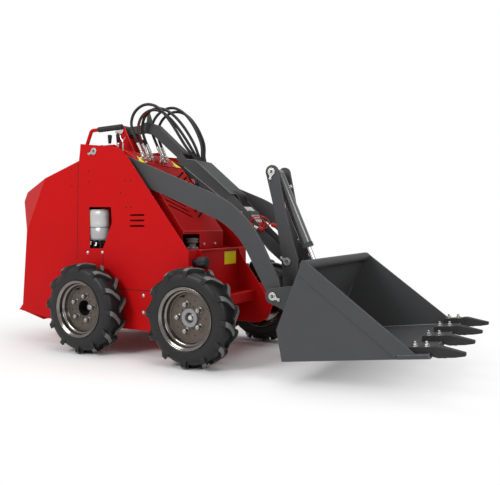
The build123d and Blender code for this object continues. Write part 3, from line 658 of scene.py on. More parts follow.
@dataclass
class Hoses:
    """Five hydraulic hoses that loop from the bulkhead's fittings into the link.

    Each loop gives the hose's y at its fitting and at its end, then the points between.
    """

    radius: float = 0.009
    sides: int = 20
    striped: str = "hose_2"
    stripe_side: int = 8
    ferrule_top: tuple = (-0.203, 1.283)
    foot: tuple = (-0.230, 1.337)
    near_end: tuple = (0.158, 1.174)
    end: tuple = (0.190, 1.123)
    elbow: tuple = (-0.162, 1.203)
    seat: tuple = (-0.1756, 1.1835)
    loops: dict = field(default_factory=lambda: {
        "hose_1": ((-0.155, -0.042), (
            (-0.268, -0.148, 1.407), (-0.249, -0.138, 1.486), (-0.178, -0.124, 1.532),
            (-0.097, -0.108, 1.518), (-0.037, -0.096, 1.459), (0.012, -0.085, 1.391),
            (0.056, -0.075, 1.320), (0.099, -0.065, 1.248))),
        "hose_2": ((-0.110, -0.021), (
            (-0.242, -0.108, 1.402), (-0.214, -0.103, 1.465), (-0.151, -0.094, 1.499),
            (-0.077, -0.083, 1.487), (-0.017, -0.071, 1.437), (0.033, -0.060, 1.378),
            (0.077, -0.049, 1.315), (0.118, -0.038, 1.247))),
        "hose_3": ((-0.065, 0.0), (
            (-0.247, -0.066, 1.403), (-0.216, -0.065, 1.478), (-0.142, -0.061, 1.515),
            (-0.063, -0.053, 1.499), (0.0, -0.042, 1.451), (0.052, -0.031, 1.392),
            (0.095, -0.021, 1.326), (0.133, -0.012, 1.257))),
        "hose_4": ((0.045, 0.021), (
            (-0.263, 0.053, 1.398), (-0.250, 0.064, 1.473), (-0.191, 0.077, 1.528),
            (-0.112, 0.082, 1.542), (-0.038, 0.079, 1.511), (0.023, 0.071, 1.460),
            (0.073, 0.061, 1.400), (0.115, 0.050, 1.333), (0.150, 0.039, 1.262))),
        "hose_5": ((0.090, 0.042), (
            (-0.246, 0.099, 1.408), (-0.210, 0.107, 1.481), (-0.135, 0.111, 1.519),
            (-0.053, 0.107, 1.508), (0.016, 0.098, 1.464), (0.072, 0.086, 1.405),
            (0.118, 0.074, 1.339), (0.154, 0.061, 1.266))),
    })

    def stripe(self, shape: Shape) -> None:
        """Colour one row of faces along a hose."""
        shape.mesh.faces.ensure_lookup_table()
        for number, face in enumerate(shape.mesh.faces[:-2]):
            face.material_index = int(number % self.sides == self.stripe_side)

    def hose(self, name: str, across: tuple, loop: Sequence[Point]) -> None:
        """Build one hose between the frame and the link.

        Args:
            name: the hose's node.
            across: its y at the fitting and at the end.
            loop: the points between.
        """
        y_foot, y_end = across
        points = [
            (self.ferrule_top[0], y_foot, self.ferrule_top[1]),
            (self.foot[0], y_foot, self.foot[1]),
            *loop,
            (self.near_end[0], y_end, self.near_end[1]),
            (self.end[0], y_end, self.end[1]),
        ]
        path = smooth_line(points, name)
        shape = Shape().tube(path, self.radius, self.sides)
        finishes = [Finish.HOSE_RUBBER]
        if name == self.striped:
            self.stripe(shape)
            finishes.append(Finish.RED_PLASTIC)
        made = shape.piece(name + "_skin", None, finishes, replaces=[name])
        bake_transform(made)

    def fitting(self, name: str, y: float) -> None:
        """Build one elbow fitting with its crimped ferrule.

        Args:
            name: the piece's name.
            y: its place across the bulkhead.
        """
        seat = Vector((self.seat[0], y, self.seat[1]))
        elbow = Vector((self.elbow[0], y, self.elbow[1]))
        top = Vector((self.ferrule_top[0], y, self.ferrule_top[1]))
        rise = (elbow - seat).normalized()
        lean = (top - elbow).normalized()
        reach = (top - elbow).length
        shape = Shape().hexagon(seat, rise, 0.026, 0.011)
        shape.turned(seat + rise * 0.009, rise, ((0, 0.0095), (0.008, 0.0095)), 20)
        shape.hexagon(seat + rise * 0.015, rise, 0.022, 0.010)
        shape.turned(
            elbow, lean, ((-0.011, 0.004), (-0.009, 0.0085), (0, 0.0105), (0.01, 0.009)), 20
        )
        shape.hexagon(elbow + lean * 0.008, lean, 0.024, 0.016)
        crimp = [(0.024, 0.0075), (0.034, 0.0075), (0.036, 0.0105)]
        for ridge in range(4):
            start = 0.040 + ridge * 0.010
            crimp += [(start, 0.0108), (start + 0.0015, 0.0099), (start + 0.006, 0.0099)]
        crimp += [(reach - 0.006, 0.0110), (reach - 0.001, 0.0108), (reach + 0.0006, 0.0100)]
        shape.turned(elbow, lean, crimp, 28)
        replaced = ["hose_fittings"] if name == "fitting_1" else []
        shape.piece(name, "root", Finish.ZINC, 0.0004, 25, replaced)

    def build(self) -> None:
        """Build the hoses and their fittings."""
        for number, (name, (across, loop)) in enumerate(self.loops.items(), 1):
            self.hose(name, across, loop)
            self.fitting(f"fitting_{number}", across[0])


# Wheels

@dataclass
class Wheel:
    """One wheel: tyre with swept lugs, drop centre rim, nuts and hub."""

    corner: str
    radius: float = 0.273
    sweep: float = 0.0725
    lug_reach: float = 0.062
    lug_top: float = 0.0150
    lug_foot: float = 0.0185
    lug_pairs: int = 12
    worn_steps: int = 5
    nuts: int = 5
    bolt_circle: float = 0.075
    disc_face: float = 0.010
    front_turn: float = -18
    rear_turn: float = 10
    valve_place: tuple = (0.122, -22)
    small_holes: tuple = ((0.062, 0.0045), (0.098, 0.0038))

    def __post_init__(self) -> None:
        """Take the wheel's place from the frame."""
        low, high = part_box("tyre_" + self.corner)
        self.centre = (Vector(low) + Vector(high)) / 2
        self.out = 1 if self.centre.y > 0 else -1
        self.axis = Vector((0, self.out, 0))
        self.front = self.centre.x > 0
        self.body = "wheel_" + self.corner

    def at(self, u: float, r: float, turn: float) -> Vector:
        """Find a point of the wheel.

        Args:
            u: the distance outward from the wheel's middle.
            r: the radius.
            turn: the angle from the top, in radians.

        Returns:
            The point.
        """
        return self.centre + Vector((r * math.sin(turn), self.out * u, r * math.cos(turn)))

    def lathe(self, profile: Sequence[tuple], steps: int = 96) -> Shape:
        """Turn a closed section about the axle.

        Args:
            profile: the section: distances outward and radii.
            steps: how many steps it takes round.

        Returns:
            The new shape.
        """
        turns = (math.tau * step / steps for step in range(steps))
        rings = ([self.at(u, r, turn) for u, r in profile] for turn in turns)
        return Shape().loft(rings, wrap=True)

    def wall(self) -> list:
        """Return half of the tyre's section, from the bead to the crown."""
        return [
            (0.0605, 0.1568), (0.0662, 0.1600), (0.0672, 0.1700), (0.0682, 0.1722),
            (0.0700, 0.1765), (0.0712, 0.1775), (0.0716, 0.1800), (0.0712, 0.1825),
            (0.0718, 0.1890), (0.0722, 0.1980), (0.0720, 0.2060), (0.0712, 0.2110),
            (0.0716, 0.2125), (0.0710, 0.2145), (0.0698, 0.2155), (0.0688, 0.2230),
            (0.0655, 0.2330), (0.0600, 0.2405), (0.0520, 0.2462), (0.0400, 0.2502),
            (0.0220, 0.2530), (0.0, 0.2540),
        ]

    def lug(self, shape: Shape, turn: float, side: int) -> None:
        """Add one lug from past the middle, over the shoulder, down the side wall.

        Args:
            shape: the mesh that takes it.
            turn: its angle from the top, in radians.
            side: 1 for the outer side, -1 for the inner.
        """
        stations = (
            (-0.007, 0.2728, -0.007, 0.246), (0.014, 0.2730, 0.013, 0.246),
            (0.034, 0.2724, 0.031, 0.245), (0.050, 0.2702, 0.044, 0.242),
            (0.0620, 0.2655, 0.050, 0.237), (0.0700, 0.2570, 0.055, 0.231),
            (0.0724, 0.2450, 0.057, 0.224), (0.0724, 0.2320, 0.059, 0.217),
            (0.0712, 0.2210, 0.061, 0.210), (0.0690, 0.2150, 0.062, 0.205),
        )
        rings = []
        for u, r, u_base, r_base in stations:
            middle = turn - self.sweep * (max(u_base, 0.0) / self.lug_reach) ** 0.9 / self.radius
            top = self.lug_top / self.radius
            foot = self.lug_foot / self.radius
            rings.append([
                self.at(side * u_base, r_base, middle - foot),
                self.at(side * u, r, middle - top),
                self.at(side * u, r, middle + top),
                self.at(side * u_base, r_base, middle + foot),
            ])
        first = len(shape.mesh.faces)
        shape.loft(rings)
        shape.mesh.faces.ensure_lookup_table()
        # The top faces of the outer stations take the paler tread grey: partly dust, partly a
        # painted highlight on the lug tops.
        for step in range(self.worn_steps):
            shape.mesh.faces[first + 4 * step + 1].material_index = 1

    def tyre(self) -> None:
        """Build the carcass and its lugs."""
        half = self.wall()
        section = half + [(-u, r) for u, r in reversed(half[:-1])]
        carcass = self.lathe(section)
        carcass.piece(
            f"tyre_{self.corner}_body", self.body, Finish.TYRE, replaces=["tyre_" + self.corner]
        )
        lugs = Shape()
        count = 2 * self.lug_pairs
        for number in range(count):
            self.lug(lugs, math.tau * number / count, 1 if number % 2 else -1)
        lugs.piece(f"tyre_{self.corner}_lugs", self.body, (Finish.TYRE, Finish.TREAD), 0.0016, 30)

    def rim(self) -> None:
        """Build the barrel and disc."""
        face = self.disc_face
        profile = [
            (0.0716, 0.1692), (0.0722, 0.1672), (0.0712, 0.1650), (0.0690, 0.1632),
            (0.0668, 0.1590), (0.0640, 0.1540), (0.0600, 0.1522), (0.0440, 0.1512),
            (0.0400, 0.1490), (0.0360, 0.1410), (0.0330, 0.1394), (face + 0.006, 0.1388),
            (face + 0.001, 0.1360), (face, 0.1330), (face, 0.0478), (face - 0.006, 0.0478),
            (face - 0.006, 0.1388), (-0.0330, 0.1394), (-0.0400, 0.1490), (-0.0600, 0.1522),
            (-0.0668, 0.1590), (-0.0712, 0.1650), (-0.0716, 0.1692), (-0.0680, 0.1692),
            (-0.0655, 0.1600), (-0.0600, 0.1562), (0.0600, 0.1562), (0.0655, 0.1600),
            (0.0680, 0.1692),
        ]
        shape = self.lathe(profile)
        shape.piece(
            f"rim_{self.corner}_barrel", self.body, Finish.RIM_STEEL,
            replaces=["rim_" + self.corner]
        )
        disc = self.lathe([
            (face + 0.0012, 0.1345), (face + 0.0012, 0.0476), (face - 0.001, 0.0476),
            (face - 0.001, 0.1345)
        ])
        disc.piece(f"rim_{self.corner}_disc", self.body, Finish.DISC_STEEL, 0.0004)

    def fasteners(self) -> None:
        """Build the nuts, the small holes between them and the valve."""
        start = math.radians(self.front_turn if self.front else self.rear_turn)
        nuts = Shape()
        holes = Shape()
        for number in range(self.nuts):
            turn = start + math.tau * number / self.nuts
            foot = self.at(self.disc_face + 0.001, self.bolt_circle, turn)
            nuts.bolt(Bolt.WHEEL, foot, self.axis)
            gap = turn + math.pi / self.nuts
            # Each small hole is a thin dark disc on the wheel's disc: painted shade for the hole's
            # unlit inside.
            for reach, size in self.small_holes:
                spot = self.at(self.disc_face + 0.0005, reach, gap)
                holes.turned(spot, self.axis, ((0, size), (0.0012, size)), 16)
        nuts.piece(f"rim_{self.corner}_nuts", self.body, Finish.NUT_STEEL, 0.0006, 30)
        holes.piece(f"rim_{self.corner}_holes", self.body, Finish.DARK, 0.0002)
        reach, turn = self.valve_place
        valve = self.at(self.disc_face, reach, math.radians(turn))
        shape = Shape().turned(
            valve, self.axis,
            ((0, 0.006), (0.01, 0.006), (0.012, 0.0042), (0.03, 0.0042), (0.031, 0.003)), 16
        )
        shape.piece(f"rim_{self.corner}_valve", self.body, Finish.BLACK_PLASTIC, 0.0004)

    def hub(self) -> None:
        """Build the hub: a raised collar in front, an open bore at the rear."""
        name = f"rim_{self.corner}_hub"
        if self.front:
            section = (
                (0.010, 0.051), (0.0225, 0.0505), (0.024, 0.049), (0.024, 0.031),
                (0.0225, 0.029), (-0.03, 0.029), (-0.03, 0.0470), (0.010, 0.0470),
            )
            look = (Finish.HUB_GREY, 0.0006, 40)
            depth, lift, across, height = 0.03, 0.02, 0.034, 0.014
            profile = (
                (0, 0.0288), (0.004, 0.0288), (0.005, 0.02), (0.02, 0.02), (0.021, 0.013),
                (0.046, 0.013), (0.047, 0.0115),
            )
        else:
            section = (
                (0.011, 0.0480), (0.011, 0.0465), (-0.045, 0.0455), (-0.050, 0.040),
                (-0.050, 0.002), (-0.056, 0.002), (-0.056, 0.0500), (0.003, 0.0500),
                (0.003, 0.0480),
            )
            # The rear bore is painted near-black: painted shade inside the bore.
            look = (Finish.DARK, 0.0004)
            depth, lift, across, height = 0.050, 0.012, 0.032, 0.012
            profile = ((0, 0.026), (0.012, 0.026), (0.014, 0.024))
        self.lathe(section, 64).piece(name, self.body, *look)
        back = self.at(-depth, 0.0, 0.0)
        shaft = Shape().turned(back, self.axis, profile, 32)
        shaft.hexagon(back + self.axis * lift, self.axis, across, height)
        shaft.piece(name + "_shaft", self.body, Finish.ZINC, 0.0006)

    def build(self) -> None:
        """Build the whole wheel."""
        self.tyre()
        self.rim()
        self.fasteners()
        self.hub()


# Body trim

@dataclass
class Trim:
    """Bolts, seams, blank stickers, grip, levers, filter and filler cap."""

    side_y: float = -0.335
    panel_holes: tuple = (
        (-0.590, 1.123), (-0.587, 1.019), (-0.441, 1.103), (-0.446, 1.039), (-0.154, 1.034),
        (-0.112, 1.035), (-0.189, 0.966), (-0.147, 0.876), (-0.109, 0.876),
    )
    panel_bolts: tuple = ((-0.455, 0.601), (-0.335, 0.604), (-0.019, 0.358), (-0.020, 0.258))
    seams: tuple = (
        ((-0.530, 1.165), (-0.548, 0.560)), ((-0.200, 0.387), (0.045, 0.387)),
        ((-0.330, 0.612), (-0.330, 0.500))
    )
    grip: tuple = ((-0.372, 1.3560), (-0.190, 1.3592))
    grip_radius: float = 0.0165
    lever_places: tuple = ((-0.440, -0.150), (-0.370, -0.150), (-0.440, 0.110), (-0.370, 0.110))
    console_top: float = 1.2353
    sticker_lift: float = 0.0006
    hole_radius: float = 0.0052
    seam_half: float = 0.0021
    plate_x: float = 0.298
    bulkhead_normal: tuple = (83, 0, 120)
    grip_rings: int = 22

    def holes_and_bolts(self) -> None:
        """Small dark holes and hexagon bolts on both side panels."""
        for word, side in (("right", -1), ("left", 1)):
            axis = Vector((0, side, 0))
            y = abs(self.side_y) * side
            holes = Shape()
            # Each hole is a thin dark disc on the panel: painted shade for the hole's unlit inside.
            for x, z in self.panel_holes:
                holes.turned(
                    (x, y - 0.0005 * side, z), axis,
                    ((0, self.hole_radius), (0.0009, self.hole_radius)), 16
                )
            holes.piece(f"panel_holes_{word}", "root", Finish.DARK)
            bolts = Shape()
            for x, z in self.panel_bolts:
                foot = Vector((x, y, z))
                bolts.turned(foot, axis, ((-0.001, 0.0105), (0.0015, 0.0105), (0.002, 0.0098)), 20)
                bolts.turned(
                    foot, axis,
                    ((0.001, 0.0078), (0.005, 0.0068), (0.0068, 0.0042), (0.007, 0.001)), 20
                )
            bolts.piece(f"panel_bolts_{word}", "root", Finish.ZINC)
            seams = Shape()
            for (x_a, z_a), (x_b, z_b) in self.seams:
                along = Vector((x_b - x_a, 0, z_b - z_a)).normalized()
                across = Vector((-along.z, 0, along.x)) * self.seam_half
                a = Vector((x_a, y - 0.0008 * side, z_a))
                b = Vector((x_b, y - 0.0008 * side, z_b))
                seams.prism([a - across, b - across, b + across, a + across], axis * 0.0011)
            seams.piece(f"panel_seams_{word}", "root", Finish.DARK)

    def stickers(self) -> None:
        """Blank yellow plates on the front wall and the bulkhead."""
        x = self.plate_x
        plate = Shape().prism(
            [(x, 0.060, 0.528), (x, 0.200, 0.528), (x, 0.200, 0.607), (x, 0.060, 0.607)],
            (self.sticker_lift, 0, 0),
        )
        plate.piece("blank_plate", "root", Finish.YELLOW)
        normal = Vector(self.bulkhead_normal).normalized()
        for name, corners in (
            (
                "sticker_right",
                ((-0.209, -0.160, 1.2066), (-0.139, -0.214, 1.1582), (-0.139, -0.160, 1.1582))
            ),
            (
                "sticker_left",
                ((-0.209, 0.200, 1.2066), (-0.139, 0.160, 1.1582), (-0.139, 0.214, 1.1582))
            ),
        ):
            base = [Vector(corner) + normal * 0.0002 for corner in corners]
            Shape().prism(base, normal * self.sticker_lift).piece(name, "root", Finish.YELLOW)
        bolts = Shape()
        for y in (-0.142, 0.142):
            bolts.bolt(Bolt.BULKHEAD, (-0.147, y, 1.1637), normal)
        bolts.piece("bulkhead_bolts", "root", Finish.ZINC, 0.0004)

    def hand_grip(self) -> None:
        """Foam grip over the rail's level run."""
        low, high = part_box("hand_rail")
        y = (low[1] + high[1]) / 2
        start = Vector((self.grip[0][0], y, self.grip[0][1]))
        end = Vector((self.grip[1][0] + 0.004, y, self.grip[1][1]))
        reach = (end - start).length
        profile = [(0, 0.0115), (0, self.grip_radius - 0.001), (0.003, self.grip_radius)]
        for ring in range(1, self.grip_rings):
            place = reach * ring / self.grip_rings
            profile += [
                (place - 0.001, self.grip_radius), (place, self.grip_radius - 0.0006),
                (place + 0.001, self.grip_radius)
            ]
        profile += [
            (reach - 0.003, self.grip_radius), (reach, self.grip_radius - 0.003),
            (reach + 0.0005, 0.004)
        ]
        Shape().turned(start, end - start, profile, 32).piece(
            "hand_grip", "root", Finish.BLACK_PLASTIC, angle=60
        )

    def levers(self) -> None:
        """Rubber boots, chromed rods and tapered knobs."""
        knobs = Shape()
        rods = Shape()
        for x, y in self.lever_places:
            foot = Vector((x, y, self.console_top))
            up = Vector((0.02, 0, 1)).normalized()
            rods.turned(foot, up, ((0.008, 0.0048), (0.08, 0.0048)), 16)
            rods.turned(foot + up * 0.055, up, ((0, 0.008), (0.007, 0.008), (0.008, 0.006)), 6)
            boot = [(0, 0.0175), (0.003, 0.0175)]
            for fold in range(4):
                size = 0.015 - fold * 0.0024
                boot += [(0.004 + fold * 0.004, size), (0.006 + fold * 0.004, size - 0.003)]
            boot.append((0.022, 0.0045))
            knobs.turned(foot, up, boot, 24)
            grip = (
                (0.062, 0.0075), (0.064, 0.0095), (0.085, 0.0115), (0.108, 0.0142), (0.114, 0.0140),
                (0.118, 0.0115), (0.119, 0.004)
            )
            knobs.turned(foot, up, grip, 24)
        knobs.piece(
            "lever_knobs", "root", Finish.BLACK_PLASTIC, angle=40, replaces=["control_levers"]
        )
        rods.piece("lever_rods", "root", Finish.CHROME)
        fork = Shape().tube([(-0.330, -0.150, 1.2353), (-0.328, -0.150, 1.300)], 0.0045, 14)
        fork.tube(
            [
                (-0.328, -0.150, 1.296), (-0.334, -0.150, 1.312), (-0.345, -0.150, 1.324),
                (-0.351, -0.150, 1.345)
            ],
            0.004, 14
        )
        fork.tube(
            [(-0.328, -0.150, 1.296), (-0.321, -0.150, 1.312), (-0.310, -0.150, 1.326)], 0.004, 14
        )
        fork.piece("lever_fork", "root", Finish.CHROME, angle=60)

    def oval(self, shape: Shape, centre: tuple, radii: tuple, steps: Sequence[tuple]) -> Shape:
        """Loft an oval canister.

        Args:
            shape: the mesh that takes it.
            centre: its middle, in x and y.
            radii: its full radii, in x and y.
            steps: heights and insets from the full radii.

        Returns:
            The shape that was given.
        """
        rings = []
        for z, inset in steps:
            wide, deep = radii[0] - inset, radii[1] - inset
            turns = (math.tau * number / 56 for number in range(56))
            rings.append([
                (centre[0] + wide * math.cos(a), centre[1] + deep * math.sin(a), z) for a in turns
            ])
        return shape.loft(rings)

    def air_filter(self) -> None:
        """Oval canister with a seam, a glossy grey lower bowl and dark valves under it."""
        low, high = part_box("air_filter")
        centre = ((low[0] + high[0]) / 2 + 0.008, low[1] + 0.049)
        radii = ((high[0] - low[0]) / 2 + 0.014, 0.049)
        top = high[2]
        shell = Shape()
        self.oval(shell, centre, radii, (
            (0.758, 0.004), (0.762, 0.001), (0.780, 0.001), (0.783, 0.0020), (top - 0.045, 0.0020),
            (top - 0.040, 0.0008), (top - 0.034, 0.0008), (top - 0.030, 0.0016),
            (top - 0.010, 0.004), (top - 0.002, 0.012), (top, 0.026),
        ))
        shell.piece("filter_shell", "root", Finish.CANISTER, angle=45, replaces=["air_filter"])
        bowl = Shape()
        self.oval(bowl, centre, radii, (
            (0.676, 0.018), (0.680, 0.010), (0.689, 0.004), (0.702, 0.002), (0.7555, 0.0016),
            (0.757, 0.003),
        ))
        bowl.piece("filter_bowl", "root", Finish.BOWL, angle=45)
        self.filter_valves(centre, radii)
        self.filter_plate(centre, radii)
        arm = Shape().prism(
            [(centre[0] - 0.020, centre[1], 0.700), (centre[0] + 0.020, centre[1], 0.700),
             (centre[0] + 0.020, centre[1], 0.820), (centre[0] - 0.020, centre[1], 0.820)],
            (0, high[1] - centre[1], 0),
        )
        arm.piece("filter_bracket", "root", Finish.RED_PAINT, 0.001)

    def filter_valves(self, centre: tuple, radii: tuple) -> None:
        """Add the dark band, the valves and the taps under the canister.

        Args:
            centre: the canister's middle, in x and y.
            radii: its full radii, in x and y.
        """
        band = Shape()
        self.oval(band, centre, radii, ((0.7565, 0.0), (0.7585, 0.0)))
        self.oval(band, centre, radii, ((0.655, 0.034), (0.676, 0.034)))
        for shift, depth, size in (
            (-0.045, 0.02, 0.014), (0.0, 0.034, 0.017), (0.042, 0.018, 0.012)
        ):
            foot = (centre[0] + shift, centre[1] - depth * 0.6, 0.676)
            band.turned(
                foot, (0, 0, -1),
                (
                    (0, size), (0.012, size), (0.014, size * 0.6), (0.03, size * 0.6),
                    (0.032, size * 0.8), (0.046, size * 0.8), (0.047, 0.002)
                ),
                16
            )
        band.piece("filter_valves", "root", Finish.BLACK_PLASTIC, 0.0008)
        caps = Shape()
        for shift, drop in ((-0.022, 0.0), (0.024, 0.008)):
            foot = (centre[0] + shift, centre[1] - 0.030, 0.672 - drop)
            caps.turned(
                foot, (0, -0.3, -1), ((0, 0.006), (0.016, 0.006), (0.017, 0.009), (0.024, 0.009)),
                12
            )
        caps.piece("filter_taps", "root", Finish.ZINC, 0.0004)

    def filter_plate(self, centre: tuple, radii: tuple) -> None:
        """Add the blank plate on the canister's side.

        Args:
            centre: the canister's middle, in x and y.
            radii: its full radii, in x and y.
        """
        plate = []
        for turn in (-2.15, -1.98, -1.81, -1.64):
            plate.append((
                centre[0] + (radii[0] - 0.0018) * math.cos(turn),
                centre[1] + (radii[1] - 0.0018) * math.sin(turn)
            ))
        mark = Shape()
        mark.loft([
            [(x, y, z) for x, y in plate + [(px, py + 0.002) for px, py in reversed(plate)]]
            for z in (0.792, 0.826)
        ])
        mark.piece("filter_plate", "root", Finish.YELLOW)

    def cast_cap(self) -> None:
        """Cast cap on its neck, on a deck plate inside the hood's notch."""
        deck = Shape().prism(
            [
                (0.02, -0.2210, 0.6215), (0.2885, -0.2210, 0.6215), (0.2885, 0.2210, 0.6215),
                (0.02, 0.2210, 0.6215)
            ],
            (0, 0, 0.005)
        )
        deck.piece("deck_plate", "root", Finish.RED_PAINT, 0.0008)
        foot = (0.140, -0.064, 0.6265)
        steps = (
            (0, 0.040), (0.006, 0.040), (0.008, 0.027), (0.022, 0.024), (0.030, 0.026),
            (0.036, 0.036), (0.040, 0.0395), (0.046, 0.0395), (0.048, 0.036), (0.052, 0.036),
            (0.054, 0.0405), (0.062, 0.0405), (0.066, 0.034), (0.067, 0.010),
        )
        Shape().turned(foot, (0, 0, 1), steps, 48).piece(
            "cast_cap", "root", Finish.HUB_GREY, angle=40
        )
        bolts = Shape()
        for number in range(6):
            turn = math.tau * number / 6 + 0.3
            spot = (foot[0] + 0.033 * math.cos(turn), foot[1] + 0.033 * math.sin(turn), 0.632)
            bolts.hexagon(spot, (0, 0, 1), 0.011, 0.007)
        for y, z in ((-0.012, 0.655), (0.115, 0.655)):
            bolts.bolt(Bolt.DECK, (0.1902, y, z), (1, 0, 0))
        bolts.piece("deck_bolts", "root", Finish.ZINC, 0.0004)

    def bulkhead(self) -> None:
        """Near-black sheet under the sloping hood as painted shade, the bulkhead's red plug and its
        seam.
        """
        normal = Vector((0.417, 0, 0.320)).normalized()
        down = Vector((0.320, 0, -0.417)).normalized()
        start = Vector((-0.130, 0, 1.152)) - normal * 0.009
        ends = [
            start + down * along + Vector((0, side, 0))
            for along, side in ((0.03, -0.215), (0.485, -0.215), (0.485, 0.215), (0.03, 0.215))
        ]
        # A near-black sheet just under the sloping hood: painted shade for the unlit space behind
        # it.
        Shape().prism(ends, normal * -0.002).piece("hood_shade_sheet", "root", Finish.DARK)
        knob = Shape().turned(
            (-0.166, -0.012, 1.1770), self.bulkhead_normal,
            ((0, 0.0145), (0.006, 0.0145), (0.013, 0.0120), (0.018, 0.0075), (0.0195, 0.002))
        )
        knob.piece("bulkhead_plug", "root", Finish.RED_PLASTIC, angle=50)
        seam = Shape().prism(
            [
                (-0.1312, -0.2200, 1.1535), (-0.1282, -0.2200, 1.1515), (-0.1282, 0.2200, 1.1515),
                (-0.1312, 0.2200, 1.1535)
            ],
            (0.0004, 0, 0.0006)
        )
        seam.piece("bulkhead_seam", "root", Finish.DARK)

    def filler(self) -> None:
        """Knurled filler cap on its neck."""
        low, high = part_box("filler_cap")
        y = (low[1] + high[1]) / 2
        z = (low[2] + high[2]) / 2
        start = Vector((low[0], y, z))
        axis = Vector((1, 0, 0))
        neck = Shape().turned(
            start, axis, ((0, 0.020), (0.034, 0.020), (0.035, 0.026), (0.040, 0.026)), 32
        )
        neck.piece("filler_neck", "root", Finish.BLACK_PLASTIC, angle=40, replaces=["filler_cap"])
        rings = []
        for reach, size in (
            (0.036, 0.029), (0.038, 0.0325), (0.078, 0.0325), (0.086, 0.030),
            (high[0] - low[0], 0.022)
        ):
            ring = circle(start + axis * reach, axis, size, 72)
            middle = start + axis * reach
            rings.append([
                middle + (point - middle) * (0.955 if number % 3 == 0 else 1.0)
                for number, point in enumerate(ring)
            ])
        Shape().loft(rings).piece("filler_top", "root", Finish.BLACK_PLASTIC, angle=24)

    def rear_fittings(self) -> None:
        """Bolts and pressed vents on the rear panel."""
        metal = Shape()
        for y in (-0.222, 0.222):
            for z in (0.235, 0.460, 0.685):
                spot, face = surface("rear_door", (-2.0, y, z), (1, 0, 0))
                metal.bolt(Bolt.PANEL, spot, face)
        metal.piece("rear_fasteners", "root", Finish.ZINC, 0.0004)
        vents = Shape()
        hoods = Shape()
        for row in range(6):
            z = 0.34 + row * 0.045
            spot, face = surface("rear_door", (-2.0, 0.0, z), (1, 0, 0))
            up = Vector((0, 1, 0)).cross(face).normalized()
            up = up if up.z > 0 else -up
            for side in (-1, 1):
                low = Vector((0, side * 0.030, 0))
                high = Vector((0, side * 0.200, 0))
                # A thin dark strip under each hood: painted shade for the vent's unlit opening.
                vents.prism(
                    [spot + low, spot + high, spot + high + up * 0.012, spot + low + up * 0.012],
                    face * 0.0006
                )
                ring = [
                    spot + up * 0.011, spot + up * 0.020, spot + up * 0.020 + face * 0.002,
                    spot + up * 0.004 + face * 0.008, spot + up * 0.003 + face * 0.0072
                ]
                hoods.loft([[point + low for point in ring], [point + high for point in ring]])
        vents.piece("rear_vent_slot_shade", "root", Finish.DARK)
        hoods.piece("rear_vent_hoods", "root", Finish.RED_PAINT, 0.0008)

    def build(self) -> None:
        """Build all the trim."""
        self.rear_fittings()
        self.holes_and_bolts()
        self.stickers()
        self.hand_grip()
        self.levers()
        self.air_filter()
        self.cast_cap()
        self.bulkhead()
        self.filler()


# Linkage details

